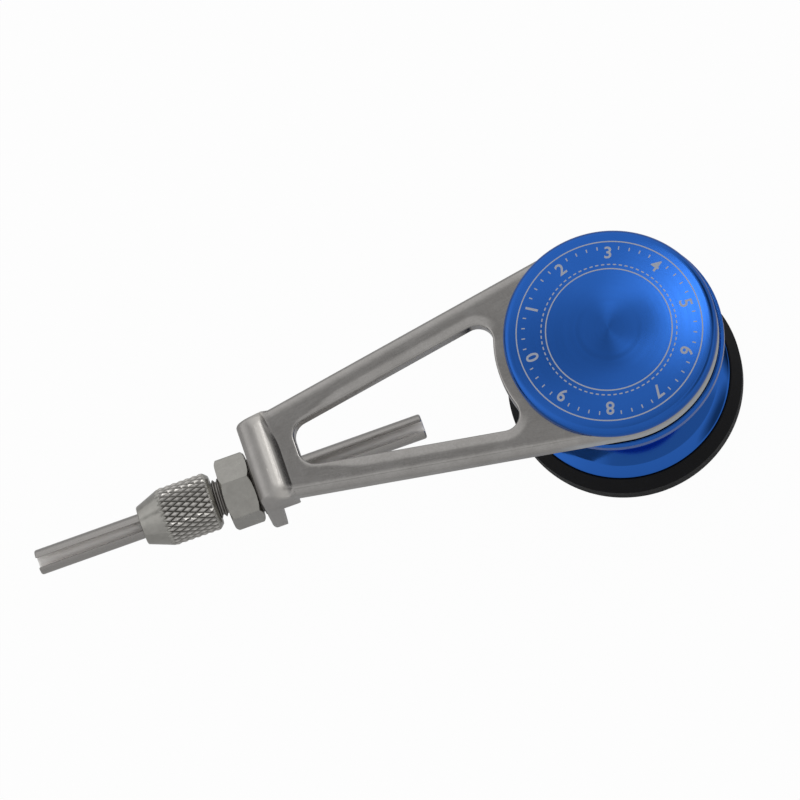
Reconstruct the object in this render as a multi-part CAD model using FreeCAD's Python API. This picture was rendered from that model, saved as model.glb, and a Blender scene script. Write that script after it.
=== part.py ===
"""Single-arm bobbin knotter: a spool on one cranked stainless arm, with a slotted line tube in a collet.

Millimetres. +Z is the spool's axle, pointing at the drag knob. The origin is where the axle's axis meets
the plane that the rubber ring stands on. -X runs from the axle to the tip of the line tube.
"""

import FreeCAD
import Part

import math
import os

os.makedirs("parts", exist_ok=True)
Vec = FreeCAD.Vector
UP = Vec(0, 0, 1)

# ---------------------------------------------------------------- driving dimensions
RUNNING = 0.05  # radial clearance of a running fit
FACE_GAP = 0.05  # axial clearance between faces that turn on each other
FAR = 60.0  # larger than the part, for the tools that cut it
OVERRUN = 1.0  # how far a cutting tool runs past the face that it cuts
EDGE_R = 0.1  # broken edge of a small turned part
LEAD_R = 0.2  # edge that leads another part in

# arm of the frame
ARM_BACK_Z = 24.9
ARM_T = 2.4
ARM_END_R = 16.3
ARM_TAPER = 10.0  # degrees, each long edge to the centre line
BAR_W = 4.3
WINDOW_ARC_R = 17.9
WINDOW_LEFT_X = -50.3
WINDOW_RIGHT_X = -8.0  # where the window's long edges would end if no arc closed them
WINDOW_CORNER_R = 2.5
ARM_EDGE_R = 1.1  # along the arm's outline
WINDOW_EDGE_R = 0.35
ARM_LAP = 1.0  # how far the arm runs into the bend block

# bend block: the raised pad, the bend and the bridge that holds the line tube
BRIDGE_X = -58.3
BRIDGE_T = 2.3
BRIDGE_HALF_W = 7.2
NOZZLE_Z = 15.5
BEND_R = 2.4
BLOCK_EDGE_R = 0.8
PAD_RISE = 0.8  # height of the pad's crest above the arm
BEND_RISE = 1.35  # the same where the pad's line meets the bridge's
PAD_X = -54.25
PAD_EDGE_R = 2.8
SHOULDER_X = -52.95  # foot of the slope from the pad down to the arm
SHOULDER_SINK = 0.3  # how deep the block's end is let into the arm's face
GUSSET_X = -52.7
GUSSET_T = 2.4
GUSSET_EDGE_R = 0.4
INNER_BEND_R = 0.25

# drag stack under the knob
KNOB_R = 16.3
KNOB_GAP = 0.12
KNOB_RIM_R = 1.35
KNOB_FOOT_R = 0.15
DOME_R = 77.0
KNOB_TOP_Z = 30.45
KNOB_RECESS_Z = 28.6
KNOB_BORE_Z = 29.7
INSERT_R = 5.2
INSERT_SHANK_R = 4.0
POCKET_R = 7.2
KNOB_RECESS_R = 7.5
POCKET_DEPTH = 1.4
DISC_SPRINGS = 4
DISC_T = 0.22
DISC_INNER_R = 3.3
DISC_OUTER_R = 6.4
DISC_GAP = 0.01  # between neighbouring disc springs
STACK_H = 1.2
PRESSURE_T = 0.35
PRESSURE_R = 6.8

# axle bolt and its washers
AXLE_R = 3.0
AXLE_FLATS = 4.8
AXLE_HEAD_R = 4.75
AXLE_HEAD_T = 2.0
AXLE_HEAD_Z = 2.6
AXLE_HEAD_EDGE_R = 0.4
AXLE_SLOT_W = 1.2
AXLE_SLOT_DEPTH = 0.9
AXLE_TOP_Z = 29.5
SHOULDER_TOP_Z = 24.0
FRONT_WASHER_R = 9.0
THRUST_WASHER_R = 6.6
THRUST_WASHER_T = 0.5
REAR_WASHER_R = 6.2

# spool
FLANGE_R = 17.0
FLANGE_FRONT_Z = 24.5
FLANGE_T = 2.0
RIM_BREAK = 0.35
VALLEY_R = 11.5
VALLEY_Z = 15.0
FRONT_FLARE = (1.8, 1.5)  # the waist curve's point above the valley: outward of it, up from half way
FRONT_FLARE_SLOPE = -0.12  # rise over run of the waist curve where it leaves the front flange
REAR_FLARE_SLOPE = -0.27  # the same of the cone between the valley and the rear rim
REAR_FLARE_R = 0.9  # between the valley and that cone
REAR_RIM_R = 16.4
REAR_RIM_Z = 5.8
SPOOL_BACK_Z = 1.2
RECESS_R = 8.5
RECESS_FLOOR_Z = 5.6
BUSH_R = 4.0
BUSH_FLANGE_R = 5.5
BUSH_FLANGE_T = 0.8
BUSH_LEN = 6.5
CAP_R = 11.5
CAP_BACK_Z = 0.7
CAP_T = 1.6
CAP_EDGE_R = 0.3
CAP_HOLE_R = 0.8
CAP_HOLE_X = 7.0
CAP_HOLE_DEPTH = 0.9

# rubber ring
RING_R = 18.2
RING_LIP_R = 14.6
RING_EDGE_Z = 3.15
RING_SEAT = 0.3  # break on the spool's rear rim, which the ring fills
RING_TOP_R = 0.2
RING_EDGE_R = 0.3
RING_FOOT_R = 0.7
RING_LIP_EDGE_R = 0.4

# nozzle, measured along X
STUD_R = 3.0
THREAD_PITCH = 0.75
THREAD_DEPTH = 0.42
STUD_NECK = 0.6
STUD_HEAD_R = 4.6
STUD_HEAD_T = 1.5
STUD_HEAD_EDGE_R = 0.5
STUD_END_X = -71.3
SEAT_DEPTH = 1.0
SEAT_FLARE = 0.55
WASHER_T = 0.6
WASHER_STEP_T = 0.3
WASHER_R = 4.75
WASHER_STEP_R = 4.25
NUT_T = 4.85
NUT_FLATS = 10.0
NUT_CHAMFER = 0.45
NUT_CHAMFER_RUN = 0.675  # the chamfer's width across the nut's end
NUT_THREAD_GAP = 0.02
NUT_TURN = -1.5  # degrees, one corner from +Z towards -Y
CAP_BASE_X = -65.24
CAP_KNURL_R = 4.58
CAP_BASE_BREAK = 0.72
CAP_SHOULDER_X = -73.04
CAP_SHOULDER_R = 0.3
CAP_NOSE_X = -77.2
CAP_NOSE_R = 2.98
CAP_NOSE_EDGE_R = 0.35
CAP_NOSE_GAP = 0.15
CAP_CONE_R = 2.35
CONE_GAP = 0.13  # between the cap's inner cone and the collet's jaws
CONE_RUN = 0.3  # length of the step from the cap's thread to its cone
COLLET_BASE_X = -71.5
COLLET_BASE_BREAK = 0.45
COLLET_TIP_X = -76.9
COLLET_R = 2.72
COLLET_TIP_R = 2.25
COLLET_BODY = 2.4
COLLET_SLIT = 0.4
COLLET_UNSLIT = 1.4  # length of the ring that joins the jaws
COLLET_GRIP_GAP = 0.03
TUBE_R = 1.96
TUBE_BORE_R = 1.35
TUBE_TIP_X = -94.15
TUBE_INNER_X = -31.5
TUBE_EDGE_R = 0.22
TUBE_SLOT_W = 1.48
TUBE_SLOT_TURN = 17.7  # degrees, from +Z towards -Y

# ---------------------------------------------------------------- worked out from them
ARM_FRONT_Z = ARM_BACK_Z + ARM_T
ARM_SLOPE = math.tan(math.radians(ARM_TAPER))
ARM_EDGE_Y = ARM_END_R / math.cos(math.radians(ARM_TAPER))  # where a long edge crosses X = 0
BRIDGE_INNER_X = BRIDGE_X + BRIDGE_T
FLANGE_BACK_Z = FLANGE_FRONT_Z - FLANGE_T
POCKET_Z = ARM_FRONT_Z - POCKET_DEPTH
PRESSURE_Z = POCKET_Z + STACK_H
INSERT_Z = PRESSURE_Z + PRESSURE_T + FACE_GAP
THRUST_WASHER_Z = AXLE_HEAD_Z + AXLE_HEAD_T
REAR_WASHER_Z = THRUST_WASHER_Z + THRUST_WASHER_T


# ---------------------------------------------------------------- helpers
def corner_arc(before, corner, after, radius):
    """Points where a rounded corner starts, its middle and its end, as vectors."""
    a = (before - corner).normalize()
    b = (after - corner).normalize()
    half = a.getAngle(b) / 2
    reach = radius / math.tan(half)
    middle = (a + b).normalize()
    centre = corner + middle * (radius / math.sin(half))
    return corner + a * reach, centre - middle * radius, corner + b * reach


def rounded_wire(corners, place):
    """Closed wire through (u, v, radius) corners; place turns (u, v) into a vector."""
    points = [place(u, v) for u, v, _ in corners]
    edges = []
    ends = []
    for i, (_, _, radius) in enumerate(corners):
        before = points[i - 1]
        after = points[(i + 1) % len(points)]
        if radius:
            start, middle, end = corner_arc(before, points[i], after, radius)
            ends.append((start, end, Part.Arc(start, middle, end).toShape()))
        else:
            ends.append((points[i], points[i], None))
    for i, (_, end, arc) in enumerate(ends):
        if arc:
            edges.append(arc)
        following = ends[(i + 1) % len(ends)][0]
        if (following - end).Length > 1e-6:
            edges.append(Part.makeLine(end, following))
    return Part.Wire(edges)


def turned(corners):
    """Solid of revolution about +Z from (radius, z, rounding) corners."""
    face = Part.Face(rounded_wire(corners, lambda r, z: Vec(r, 0, z)))
    return face.revolve(Vec(0, 0, 0), UP, 360)


def extruded(corners, z0, z1):
    """Prism along +Z from (x, y, rounding) corners."""
    face = Part.Face(rounded_wire(corners, lambda x, y: Vec(x, y, z0)))
    return face.extrude(Vec(0, 0, z1 - z0))


def disc(radius, z0, z1):
    return Part.makeCylinder(radius, z1 - z0, Vec(0, 0, z0))


def washer(outer, inner, z0, z1, edge=0.08):
    return turned([(inner, z0, 0), (outer, z0, edge), (outer, z1, edge), (inner, z1, 0)])


def on_nozzle(shape):
    """Carries a shape built on the Z axis, with z standing for x, onto the nozzle's axis."""
    shape = shape.copy()
    shape.rotate(Vec(0, 0, 0), Vec(0, 1, 0), 90)
    shape.translate(Vec(0, 0, NOZZLE_Z))
    return shape


def flatted(radius, flats, z0, z1):
    """Round bar with two parallel flats, facing +Y and -Y."""
    bar = disc(radius, z0, z1)
    slab = Part.makeBox(4 * radius, flats, z1 - z0, Vec(-2 * radius, -flats / 2, z0))
    return bar.common(slab)


def threaded(radius, bore, z0, z1, pitch, depth):
    """Hollow bar whose outside is cut into rings, one for each turn of its thread."""
    run_in = 0.1
    foot_width = 0.42  # of the pitch, on each side of a crest
    turns = int((z1 - z0 - 2 * run_in) / pitch)
    corners = [(bore, z0, 0), (radius - depth, z0, 0)]
    for turn in range(turns):
        foot = z0 + run_in + turn * pitch
        corners += [(radius - depth, foot, 0), (radius, foot + foot_width * pitch, 0)]
        corners += [(radius, foot + (1 - foot_width) * pitch, 0)]
    corners += [(radius - depth, z0 + run_in + turns * pitch, 0), (radius - depth, z1, 0), (bore, z1, 0)]
    return turned(corners)


def export(shape, node):
    shape.exportStep(f"parts/{node}.step")
    solids = shape.Solids
    print(f"{node}: {len(solids)} solid(s), {shape.Volume:.1f} mm3, valid {shape.isValid()}")


# ---------------------------------------------------------------- frame
def arm_edge(x, inset=0.0):
    """Half width of the arm at x, less an inset measured square to its long edge."""
    return ARM_EDGE_Y + x * ARM_SLOPE - inset / math.cos(math.radians(ARM_TAPER))


def arm_plan():
    """The arm: a round end about the axle and two tapering edges that end inside the bend block."""
    end_x = PAD_X - ARM_LAP
    plate = extruded(
        [
            (end_x, arm_edge(end_x), 0),
            (0, arm_edge(0), 0),
            (0, -arm_edge(0), 0),
            (end_x, -arm_edge(end_x), 0),
        ],
        ARM_BACK_Z,
        ARM_FRONT_Z,
    )
    # the tapering edges touch the round end left of the axle
    touch_x = -ARM_END_R * math.sin(math.radians(ARM_TAPER))
    plate = plate.common(Part.makeBox(FAR, FAR, FAR, Vec(touch_x - FAR, -FAR / 2, 0)))
    return plate.fuse(disc(ARM_END_R, ARM_BACK_Z, ARM_FRONT_Z)).removeSplitter()


def window():
    """The opening in the arm: edges that follow the outline, closed by an arc about the axle."""
    z0, z1 = ARM_BACK_Z - OVERRUN, ARM_FRONT_Z + OVERRUN
    left_y = arm_edge(WINDOW_LEFT_X, BAR_W)
    right_y = arm_edge(WINDOW_RIGHT_X, BAR_W)
    wedge = extruded(
        [
            (WINDOW_LEFT_X, left_y, WINDOW_CORNER_R),
            (WINDOW_RIGHT_X, right_y, 0),
            (WINDOW_RIGHT_X, -right_y, 0),
            (WINDOW_LEFT_X, -left_y, WINDOW_CORNER_R),
        ],
        z0,
        z1,
    )
    opening = wedge.cut(disc(WINDOW_ARC_R, z0, z1))
    upright = [e for e in opening.Edges if e.BoundBox.ZLength > ARM_T]
    corners = [e for e in upright if e.CenterOfMass.x > -WINDOW_ARC_R]
    return opening.makeFillet(WINDOW_CORNER_R, corners)


def lies_in(edge, z):
    """True for an edge that lies in the plane at height z."""
    box = edge.BoundBox
    return abs(box.ZMin - z) < 1e-4 and abs(box.ZMax - z) < 1e-4


def arm():
    plate = arm_plan()
    inside_block_x = PAD_X - ARM_LAP / 2
    outline = [e for e in plate.Edges if lies_in(e, ARM_FRONT_Z) and e.BoundBox.XMax > inside_block_x]
    plate = plate.makeFillet(ARM_EDGE_R, outline).cut(window())

    def in_window(edge):
        """True for an edge of the front face that bounds the window."""
        box = edge.BoundBox
        inside = max(abs(box.YMin), abs(box.YMax)) < arm_edge(box.XMin, BAR_W / 2)
        return lies_in(edge, ARM_FRONT_Z) and inside and WINDOW_LEFT_X - 0.1 < box.XMin < -ARM_EDGE_R

    return plate.makeFillet(WINDOW_EDGE_R, [e for e in plate.Edges if in_window(e)])


def side_facet(side):
    """Wedge that slims the bend from the bridge's width to the arm's tapering edge; side is 1 or -1."""
    top = ARM_FRONT_Z + PAD_RISE
    knee_x = (BRIDGE_HALF_W - ARM_EDGE_Y) / ARM_SLOPE
    knee = Vec(knee_x, side * BRIDGE_HALF_W, top)
    narrow = Vec(BRIDGE_X, side * arm_edge(BRIDGE_X), top)
    wide = Vec(BRIDGE_X, side * BRIDGE_HALF_W, ARM_BACK_Z - GUSSET_T)
    normal = (narrow - knee).cross(wide - knee).normalize()
    if normal.y * side < 0:
        normal = -normal
    wedge = Part.makeBox(FAR, FAR, FAR, Vec(-FAR / 2, -FAR / 2, 0))
    wedge.Placement = FreeCAD.Placement(knee, FreeCAD.Rotation(UP, normal))
    return wedge


def bend_block():
    """Pad, bend, bridge and gusset: one side view drawn across the strip, with a round lower end."""
    crest = ARM_FRONT_Z + PAD_RISE
    top = ARM_FRONT_Z + BEND_RISE
    low = NOZZLE_Z - BRIDGE_HALF_W
    gusset_z = ARM_BACK_Z - GUSSET_T
    side = [
        (SHOULDER_X, ARM_FRONT_Z - SHOULDER_SINK, 0),
        (SHOULDER_X, ARM_FRONT_Z, 0),
        (PAD_X, crest, PAD_EDGE_R),
        (BRIDGE_X, top, BEND_R),
        (BRIDGE_X, low, 0),
        (BRIDGE_INNER_X, low, 0),
        (BRIDGE_INNER_X, gusset_z, INNER_BEND_R),
        (GUSSET_X, gusset_z, GUSSET_EDGE_R),
        (GUSSET_X, ARM_FRONT_Z - SHOULDER_SINK - ARM_EDGE_R, 0),
    ]
    face = Part.Face(rounded_wire(side, lambda x, z: Vec(x, -BRIDGE_HALF_W, z)))
    block = face.extrude(Vec(0, 2 * BRIDGE_HALF_W, 0))
    # the bridge's lower end is concentric with the line tube
    start_x = BRIDGE_X - OVERRUN
    tongue = Part.makeCylinder(BRIDGE_HALF_W, 2 * BRIDGE_T, Vec(start_x, 0, NOZZLE_Z), Vec(1, 0, 0))
    above = Part.makeBox(FAR, FAR, FAR, Vec(start_x, -FAR / 2, NOZZLE_Z))
    block = block.common(tongue.fuse(above)).removeSplitter()
    block = block.cut(side_facet(1)).cut(side_facet(-1))

    def faces_out(face):
        """True for the pad, the bend and the bridge's outer face; False for the sides and the inside."""
        u0, u1, v0, v1 = face.ParameterRange
        normal = face.normalAt((u0 + u1) / 2, (v0 + v1) / 2)
        flat_side = abs(normal.y) > 0.9
        return not flat_side and (normal.z > 0.3 or normal.x < -0.3)

    # the outline that parts those faces from the block's sides
    rim = []
    for e in block.Edges:
        outward = [faces_out(f) for f in block.ancestorsOfType(e, Part.Face)]
        beyond_arm = e.CenterOfMass.x < SHOULDER_X - 0.05
        if beyond_arm and outward.count(True) == 1:
            rim.append(e)
    return block.makeFillet(BLOCK_EDGE_R, rim)


def frame():
    body = arm().fuse(bend_block()).removeSplitter()
    # the keyed hole for the axle, the spring pocket and the stud's hole in the bridge
    keyed = flatted(AXLE_R + RUNNING, AXLE_FLATS + 2 * RUNNING, ARM_BACK_Z - OVERRUN, ARM_FRONT_Z)
    pocket = disc(POCKET_R, POCKET_Z, ARM_FRONT_Z + OVERRUN)
    stud_hole = on_nozzle(disc(STUD_R + RUNNING, BRIDGE_X - OVERRUN, BRIDGE_INNER_X + OVERRUN))
    return body.cut(keyed).cut(pocket).cut(stud_hole)


# ---------------------------------------------------------------- drag knob and its stack
def dome_z(radius):
    return KNOB_TOP_Z - (DOME_R - math.sqrt(DOME_R**2 - radius**2))


def drag_knob():
    """Shallow domed disc with a round edge, hollow under the middle for the drag stack."""
    base = ARM_FRONT_Z + KNOB_GAP
    # the rim's arc is tangent to the dome and to the knob's outside
    reach = DOME_R - KNOB_RIM_R
    rim_x = KNOB_R - KNOB_RIM_R
    rim_z = KNOB_TOP_Z - DOME_R + math.sqrt(reach**2 - rim_x**2)
    lean = math.asin(rim_x / reach)
    half = (math.pi / 2 + lean) / 2
    centre = Vec(rim_x, 0, rim_z)
    dome_end = centre + Vec(math.sin(lean), 0, math.cos(lean)) * KNOB_RIM_R
    rim_mid = centre + Vec(math.sin(half), 0, math.cos(half)) * KNOB_RIM_R
    rim_end = Vec(KNOB_R, 0, rim_z)
    top = Vec(0, 0, KNOB_TOP_Z)
    foot, foot_mid, foot_end = corner_arc(rim_end, Vec(KNOB_R, 0, base), Vec(0, 0, base), KNOB_FOOT_R)
    path = [
        foot_end,
        Vec(KNOB_RECESS_R, 0, base),
        Vec(KNOB_RECESS_R, 0, KNOB_RECESS_Z),
        Vec(INSERT_SHANK_R, 0, KNOB_RECESS_Z),
        Vec(INSERT_SHANK_R, 0, KNOB_BORE_Z),
        Vec(0, 0, KNOB_BORE_Z),
        top,
    ]
    edges = [
        Part.Arc(top, Vec(rim_x / 2, 0, dome_z(rim_x / 2)), dome_end).toShape(),
        Part.Arc(dome_end, rim_mid, rim_end).toShape(),
        Part.makeLine(rim_end, foot),
        Part.Arc(foot, foot_mid, foot_end).toShape(),
    ]
    edges += [Part.makeLine(a, b) for a, b in zip(path, path[1:])]
    return Part.Face(Part.Wire(edges)).revolve(Vec(0, 0, 0), UP, 360)


def knob_insert():
    """Threaded brass insert, pressed into the knob, whose flange pushes on the pressure washer."""
    inner = AXLE_R + RUNNING
    return turned(
        [
            (inner, INSERT_Z, LEAD_R),
            (INSERT_R, INSERT_Z, EDGE_R),
            (INSERT_R, KNOB_RECESS_Z, 0),
            (INSERT_SHANK_R, KNOB_RECESS_Z, 0),
            (INSERT_SHANK_R, KNOB_BORE_Z, EDGE_R),
            (inner, KNOB_BORE_Z, 0),
        ]
    )


def disc_springs():
    """Conical disc springs, stacked in turn point up and point down."""
    pitch = STACK_H / DISC_SPRINGS
    rise = pitch - DISC_T - DISC_GAP
    springs = []
    for i in range(DISC_SPRINGS):
        z = POCKET_Z + i * pitch
        inner_z, outer_z = (z + rise, z) if i % 2 == 0 else (z, z + rise)
        springs.append(
            turned(
                [
                    (DISC_INNER_R, inner_z, 0),
                    (DISC_OUTER_R, outer_z, 0),
                    (DISC_OUTER_R, outer_z + DISC_T, 0),
                    (DISC_INNER_R, inner_z + DISC_T, 0),
                ]
            )
        )
    return Part.makeCompound(springs)


def pressure_washer():
    """Keyed washer: its double-D hole rides on the axle's flats, so it slides but never turns."""
    z0, z1 = PRESSURE_Z, PRESSURE_Z + PRESSURE_T
    hole = flatted(AXLE_R + RUNNING, AXLE_FLATS + 2 * RUNNING, z0 - OVERRUN, z1 + OVERRUN)
    return disc(PRESSURE_R, z0, z1).cut(hole)


# ---------------------------------------------------------------- axle and what turns on it
def axle_bolt():
    """Shoulder bolt: slotted head in the spool's recess, round shoulder, flatted threaded front."""
    head = turned(
        [
            (0, AXLE_HEAD_Z, 0),
            (AXLE_HEAD_R, AXLE_HEAD_Z, AXLE_HEAD_EDGE_R),
            (AXLE_HEAD_R, THRUST_WASHER_Z, EDGE_R),
            (0, THRUST_WASHER_Z, 0),
        ]
    )
    slot_corner = Vec(-FAR / 2, -AXLE_SLOT_W / 2, AXLE_HEAD_Z - OVERRUN)
    slot = Part.makeBox(FAR, AXLE_SLOT_W, AXLE_SLOT_DEPTH + OVERRUN, slot_corner)
    shoulder = disc(AXLE_R, THRUST_WASHER_Z, SHOULDER_TOP_Z)
    front = flatted(AXLE_R, AXLE_FLATS, SHOULDER_TOP_Z, AXLE_TOP_Z)
    return head.cut(slot).fuse(shoulder).fuse(front).removeSplitter()


def bush(z_flange, direction):
    """Flanged plain bush; direction +1 has its sleeve above the flange, -1 below."""
    corners = [
        (AXLE_R + RUNNING, 0, 0),
        (BUSH_FLANGE_R, 0, EDGE_R),
        (BUSH_FLANGE_R, BUSH_FLANGE_T, 0),
        (BUSH_R, BUSH_FLANGE_T, 0),
        (BUSH_R, BUSH_LEN, LEAD_R),
        (AXLE_R + RUNNING, BUSH_LEN, LEAD_R),
    ]
    return turned([(r, z_flange + direction * z, f) for r, z, f in corners])


def spool():
    """Waisted spool turned in one piece, bored for the bushes and recessed behind for the axle's head."""
    rim = [
        Vec(BUSH_FLANGE_R, 0, FLANGE_FRONT_Z),
        Vec(FLANGE_R - RIM_BREAK, 0, FLANGE_FRONT_Z),
        Vec(FLANGE_R, 0, FLANGE_FRONT_Z - RIM_BREAK),
        Vec(FLANGE_R, 0, FLANGE_BACK_Z + RIM_BREAK),
        Vec(FLANGE_R - RIM_BREAK, 0, FLANGE_BACK_Z),
    ]
    rear_edge = Vec(REAR_RIM_R - RING_SEAT, 0, REAR_RIM_Z)
    # the waist curves in from the front flange, runs straight behind it
    # and opens to the rear rim as a shallow cone
    front_flare = Vec(VALLEY_R + FRONT_FLARE[0], 0, (FLANGE_BACK_Z + VALLEY_Z) / 2 + FRONT_FLARE[1])
    valley = Vec(VALLEY_R, 0, VALLEY_Z)
    waist = Part.BSplineCurve()
    waist.interpolate(
        Points=[rim[-1], front_flare, valley],
        InitialTangent=Vec(-1, 0, FRONT_FLARE_SLOPE),
        FinalTangent=Vec(0, 0, -1),
    )
    corner = Vec(VALLEY_R, 0, REAR_RIM_Z + (VALLEY_R - rear_edge.x) * REAR_FLARE_SLOPE)
    cone = (rear_edge - corner).normalize()
    half_turn = UP.getAngle(cone) / 2
    reach = REAR_FLARE_R / math.tan(half_turn)
    middle = corner + (UP + cone).normalize() * (REAR_FLARE_R / math.sin(half_turn) - REAR_FLARE_R)
    bend = Part.Arc(corner + UP * reach, middle, corner + cone * reach)
    cap_seat_z = CAP_BACK_Z + CAP_T
    back = [
        rear_edge,
        Vec(REAR_RIM_R, 0, REAR_RIM_Z - RING_SEAT),
        Vec(REAR_RIM_R, 0, SPOOL_BACK_Z + RING_SEAT),
        Vec(REAR_RIM_R - RING_SEAT, 0, SPOOL_BACK_Z),
        Vec(CAP_R, 0, SPOOL_BACK_Z),
        Vec(CAP_R, 0, cap_seat_z),
        Vec(RECESS_R, 0, cap_seat_z),
        Vec(RECESS_R, 0, RECESS_FLOOR_Z),
        Vec(BUSH_FLANGE_R, 0, RECESS_FLOOR_Z),
        Vec(BUSH_FLANGE_R, 0, RECESS_FLOOR_Z + BUSH_FLANGE_T),
        Vec(BUSH_R, 0, RECESS_FLOOR_Z + BUSH_FLANGE_T),
        Vec(BUSH_R, 0, FLANGE_FRONT_Z - BUSH_FLANGE_T),
        Vec(BUSH_FLANGE_R, 0, FLANGE_FRONT_Z - BUSH_FLANGE_T),
        Vec(BUSH_FLANGE_R, 0, FLANGE_FRONT_Z),
    ]
    edges = [Part.makeLine(a, b) for a, b in zip(rim, rim[1:])]
    edges.append(waist.toShape())
    edges.append(Part.makeLine(valley, corner + UP * reach))
    edges.append(bend.toShape())
    edges.append(Part.makeLine(corner + cone * reach, rear_edge))
    edges += [Part.makeLine(a, b) for a, b in zip(back, back[1:])]
    return Part.Face(Part.Wire(edges)).revolve(Vec(0, 0, 0), UP, 360)


def rear_cap():
    """Flat cover pressed into the back of the spool, with two holes for a pin spanner."""
    cap = turned(
        [
            (0, CAP_BACK_Z, 0),
            (CAP_R, CAP_BACK_Z, CAP_EDGE_R),
            (CAP_R, CAP_BACK_Z + CAP_T, 0),
            (0, CAP_BACK_Z + CAP_T, 0),
        ]
    )
    hole = disc(CAP_HOLE_R, CAP_BACK_Z - OVERRUN, CAP_BACK_Z + CAP_HOLE_DEPTH)
    for side in (-1, 1):
        cap = cap.cut(hole.translated(Vec(side * CAP_HOLE_X, 0, 0)))
    return cap


def rubber_ring():
    """Ring stretched over the rear flange: a sloping front face, a round wall and a lip behind."""
    return turned(
        [
            (REAR_RIM_R, REAR_RIM_Z, RING_TOP_R),
            (RING_R, RING_EDGE_Z, RING_EDGE_R),
            (RING_R, 0, RING_FOOT_R),
            (RING_LIP_R, 0, RING_LIP_EDGE_R),
            (RING_LIP_R, SPOOL_BACK_Z, 0),
            (REAR_RIM_R - RING_SEAT, SPOOL_BACK_Z, 0),
            (REAR_RIM_R, SPOOL_BACK_Z + RING_SEAT, 0),
        ]
    )


# ---------------------------------------------------------------- nozzle
def collet_stud():
    """Hollow screw put through the bridge from inside, with a cone seat in its outer end."""
    bore = TUBE_R + RUNNING
    neck_x = BRIDGE_X - STUD_NECK
    head_x = BRIDGE_INNER_X + STUD_HEAD_T
    shank = threaded(STUD_R, bore, STUD_END_X, neck_x, THREAD_PITCH, THREAD_DEPTH)
    neck = turned(
        [
            (bore, neck_x, 0),
            (STUD_R, neck_x, 0),
            (STUD_R, BRIDGE_INNER_X, 0),
            (STUD_HEAD_R, BRIDGE_INNER_X, EDGE_R),
            (STUD_HEAD_R, head_x, STUD_HEAD_EDGE_R),
            (bore, head_x, LEAD_R),
        ]
    )
    seat = Part.makeCone(bore + SEAT_FLARE, bore, SEAT_DEPTH, Vec(0, 0, STUD_END_X))
    return on_nozzle(shank.fuse(neck).cut(seat).removeSplitter())


def lock_washer():
    """Thin washer between nut and bridge, with a turned step towards the nut."""
    inner = STUD_R + RUNNING
    step_x = BRIDGE_X - WASHER_STEP_T
    return on_nozzle(
        turned(
            [
                (inner, BRIDGE_X - WASHER_T, 0),
                (WASHER_STEP_R, BRIDGE_X - WASHER_T, EDGE_R),
                (WASHER_STEP_R, step_x, 0),
                (WASHER_R, step_x, EDGE_R),
                (WASHER_R, BRIDGE_X, EDGE_R),
                (inner, BRIDGE_X, 0),
            ]
        )
    )


def lock_nut():
    x1 = BRIDGE_X - WASHER_T
    x0 = x1 - NUT_T
    corner_r = NUT_FLATS / 2 / math.cos(math.pi / 6)
    # on_nozzle carries -X to +Z, so the corner that points up is built at 180 degrees
    turns = [math.radians(180 + NUT_TURN + i * 60) for i in range(6)]
    hexagon = [(corner_r * math.cos(turn), corner_r * math.sin(turn), 0) for turn in turns]
    barrel = turned(
        [
            (0, x0, 0),
            (corner_r - NUT_CHAMFER_RUN, x0, 0),
            (corner_r, x0 + NUT_CHAMFER, 0),
            (corner_r, x1 - NUT_CHAMFER, 0),
            (corner_r - NUT_CHAMFER_RUN, x1, 0),
            (0, x1, 0),
        ]
    )
    nut = extruded(hexagon, x0, x1).common(barrel)
    return on_nozzle(nut.cut(disc(STUD_R + NUT_THREAD_GAP, x0 - OVERRUN, x1 + OVERRUN)))


def split_collet():
    """Four sprung jaws round the line tube, closed by the cone inside the cap."""
    bore = TUBE_R + COLLET_GRIP_GAP
    jaws = turned(
        [
            (bore, COLLET_BASE_X, 0),
            (COLLET_R - COLLET_BASE_BREAK, COLLET_BASE_X, 0),
            (COLLET_R, COLLET_BASE_X - COLLET_BASE_BREAK, 0),
            (COLLET_R, COLLET_BASE_X - COLLET_BODY, 0),
            (COLLET_TIP_R, COLLET_TIP_X, EDGE_R),
            (bore, COLLET_TIP_X, 0),
        ]
    )
    slit_length = COLLET_BASE_X - COLLET_TIP_X - COLLET_UNSLIT + OVERRUN
    slit_corner = Vec(-FAR / 2, -COLLET_SLIT / 2, COLLET_TIP_X - OVERRUN)
    for turn in (0, 90):
        slit = Part.makeBox(FAR, COLLET_SLIT, slit_length, slit_corner)
        slit.rotate(Vec(0, 0, 0), UP, turn)
        jaws = jaws.cut(slit)
    return on_nozzle(jaws)


def collet_cap():
    """Grip cap that screws on the stud: chamfered base, round grip and a conical nose."""
    thread_r = STUD_R + RUNNING
    cone_x = COLLET_BASE_X - COLLET_BODY + RUNNING
    return on_nozzle(
        turned(
            [
                (thread_r, CAP_BASE_X, LEAD_R),
                (CAP_KNURL_R - CAP_BASE_BREAK, CAP_BASE_X, EDGE_R),
                (CAP_KNURL_R, CAP_BASE_X - CAP_BASE_BREAK, EDGE_R),
                (CAP_KNURL_R, CAP_SHOULDER_X, CAP_SHOULDER_R),
                (CAP_NOSE_R, CAP_NOSE_X, CAP_NOSE_EDGE_R),
                (TUBE_R + CAP_NOSE_GAP, CAP_NOSE_X, EDGE_R),
                (CAP_CONE_R, COLLET_TIP_X + CONE_RUN, 0),
                (COLLET_R + CONE_GAP, cone_x, 0),
                (thread_r, cone_x + CONE_RUN, 0),
            ]
        )
    )


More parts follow.
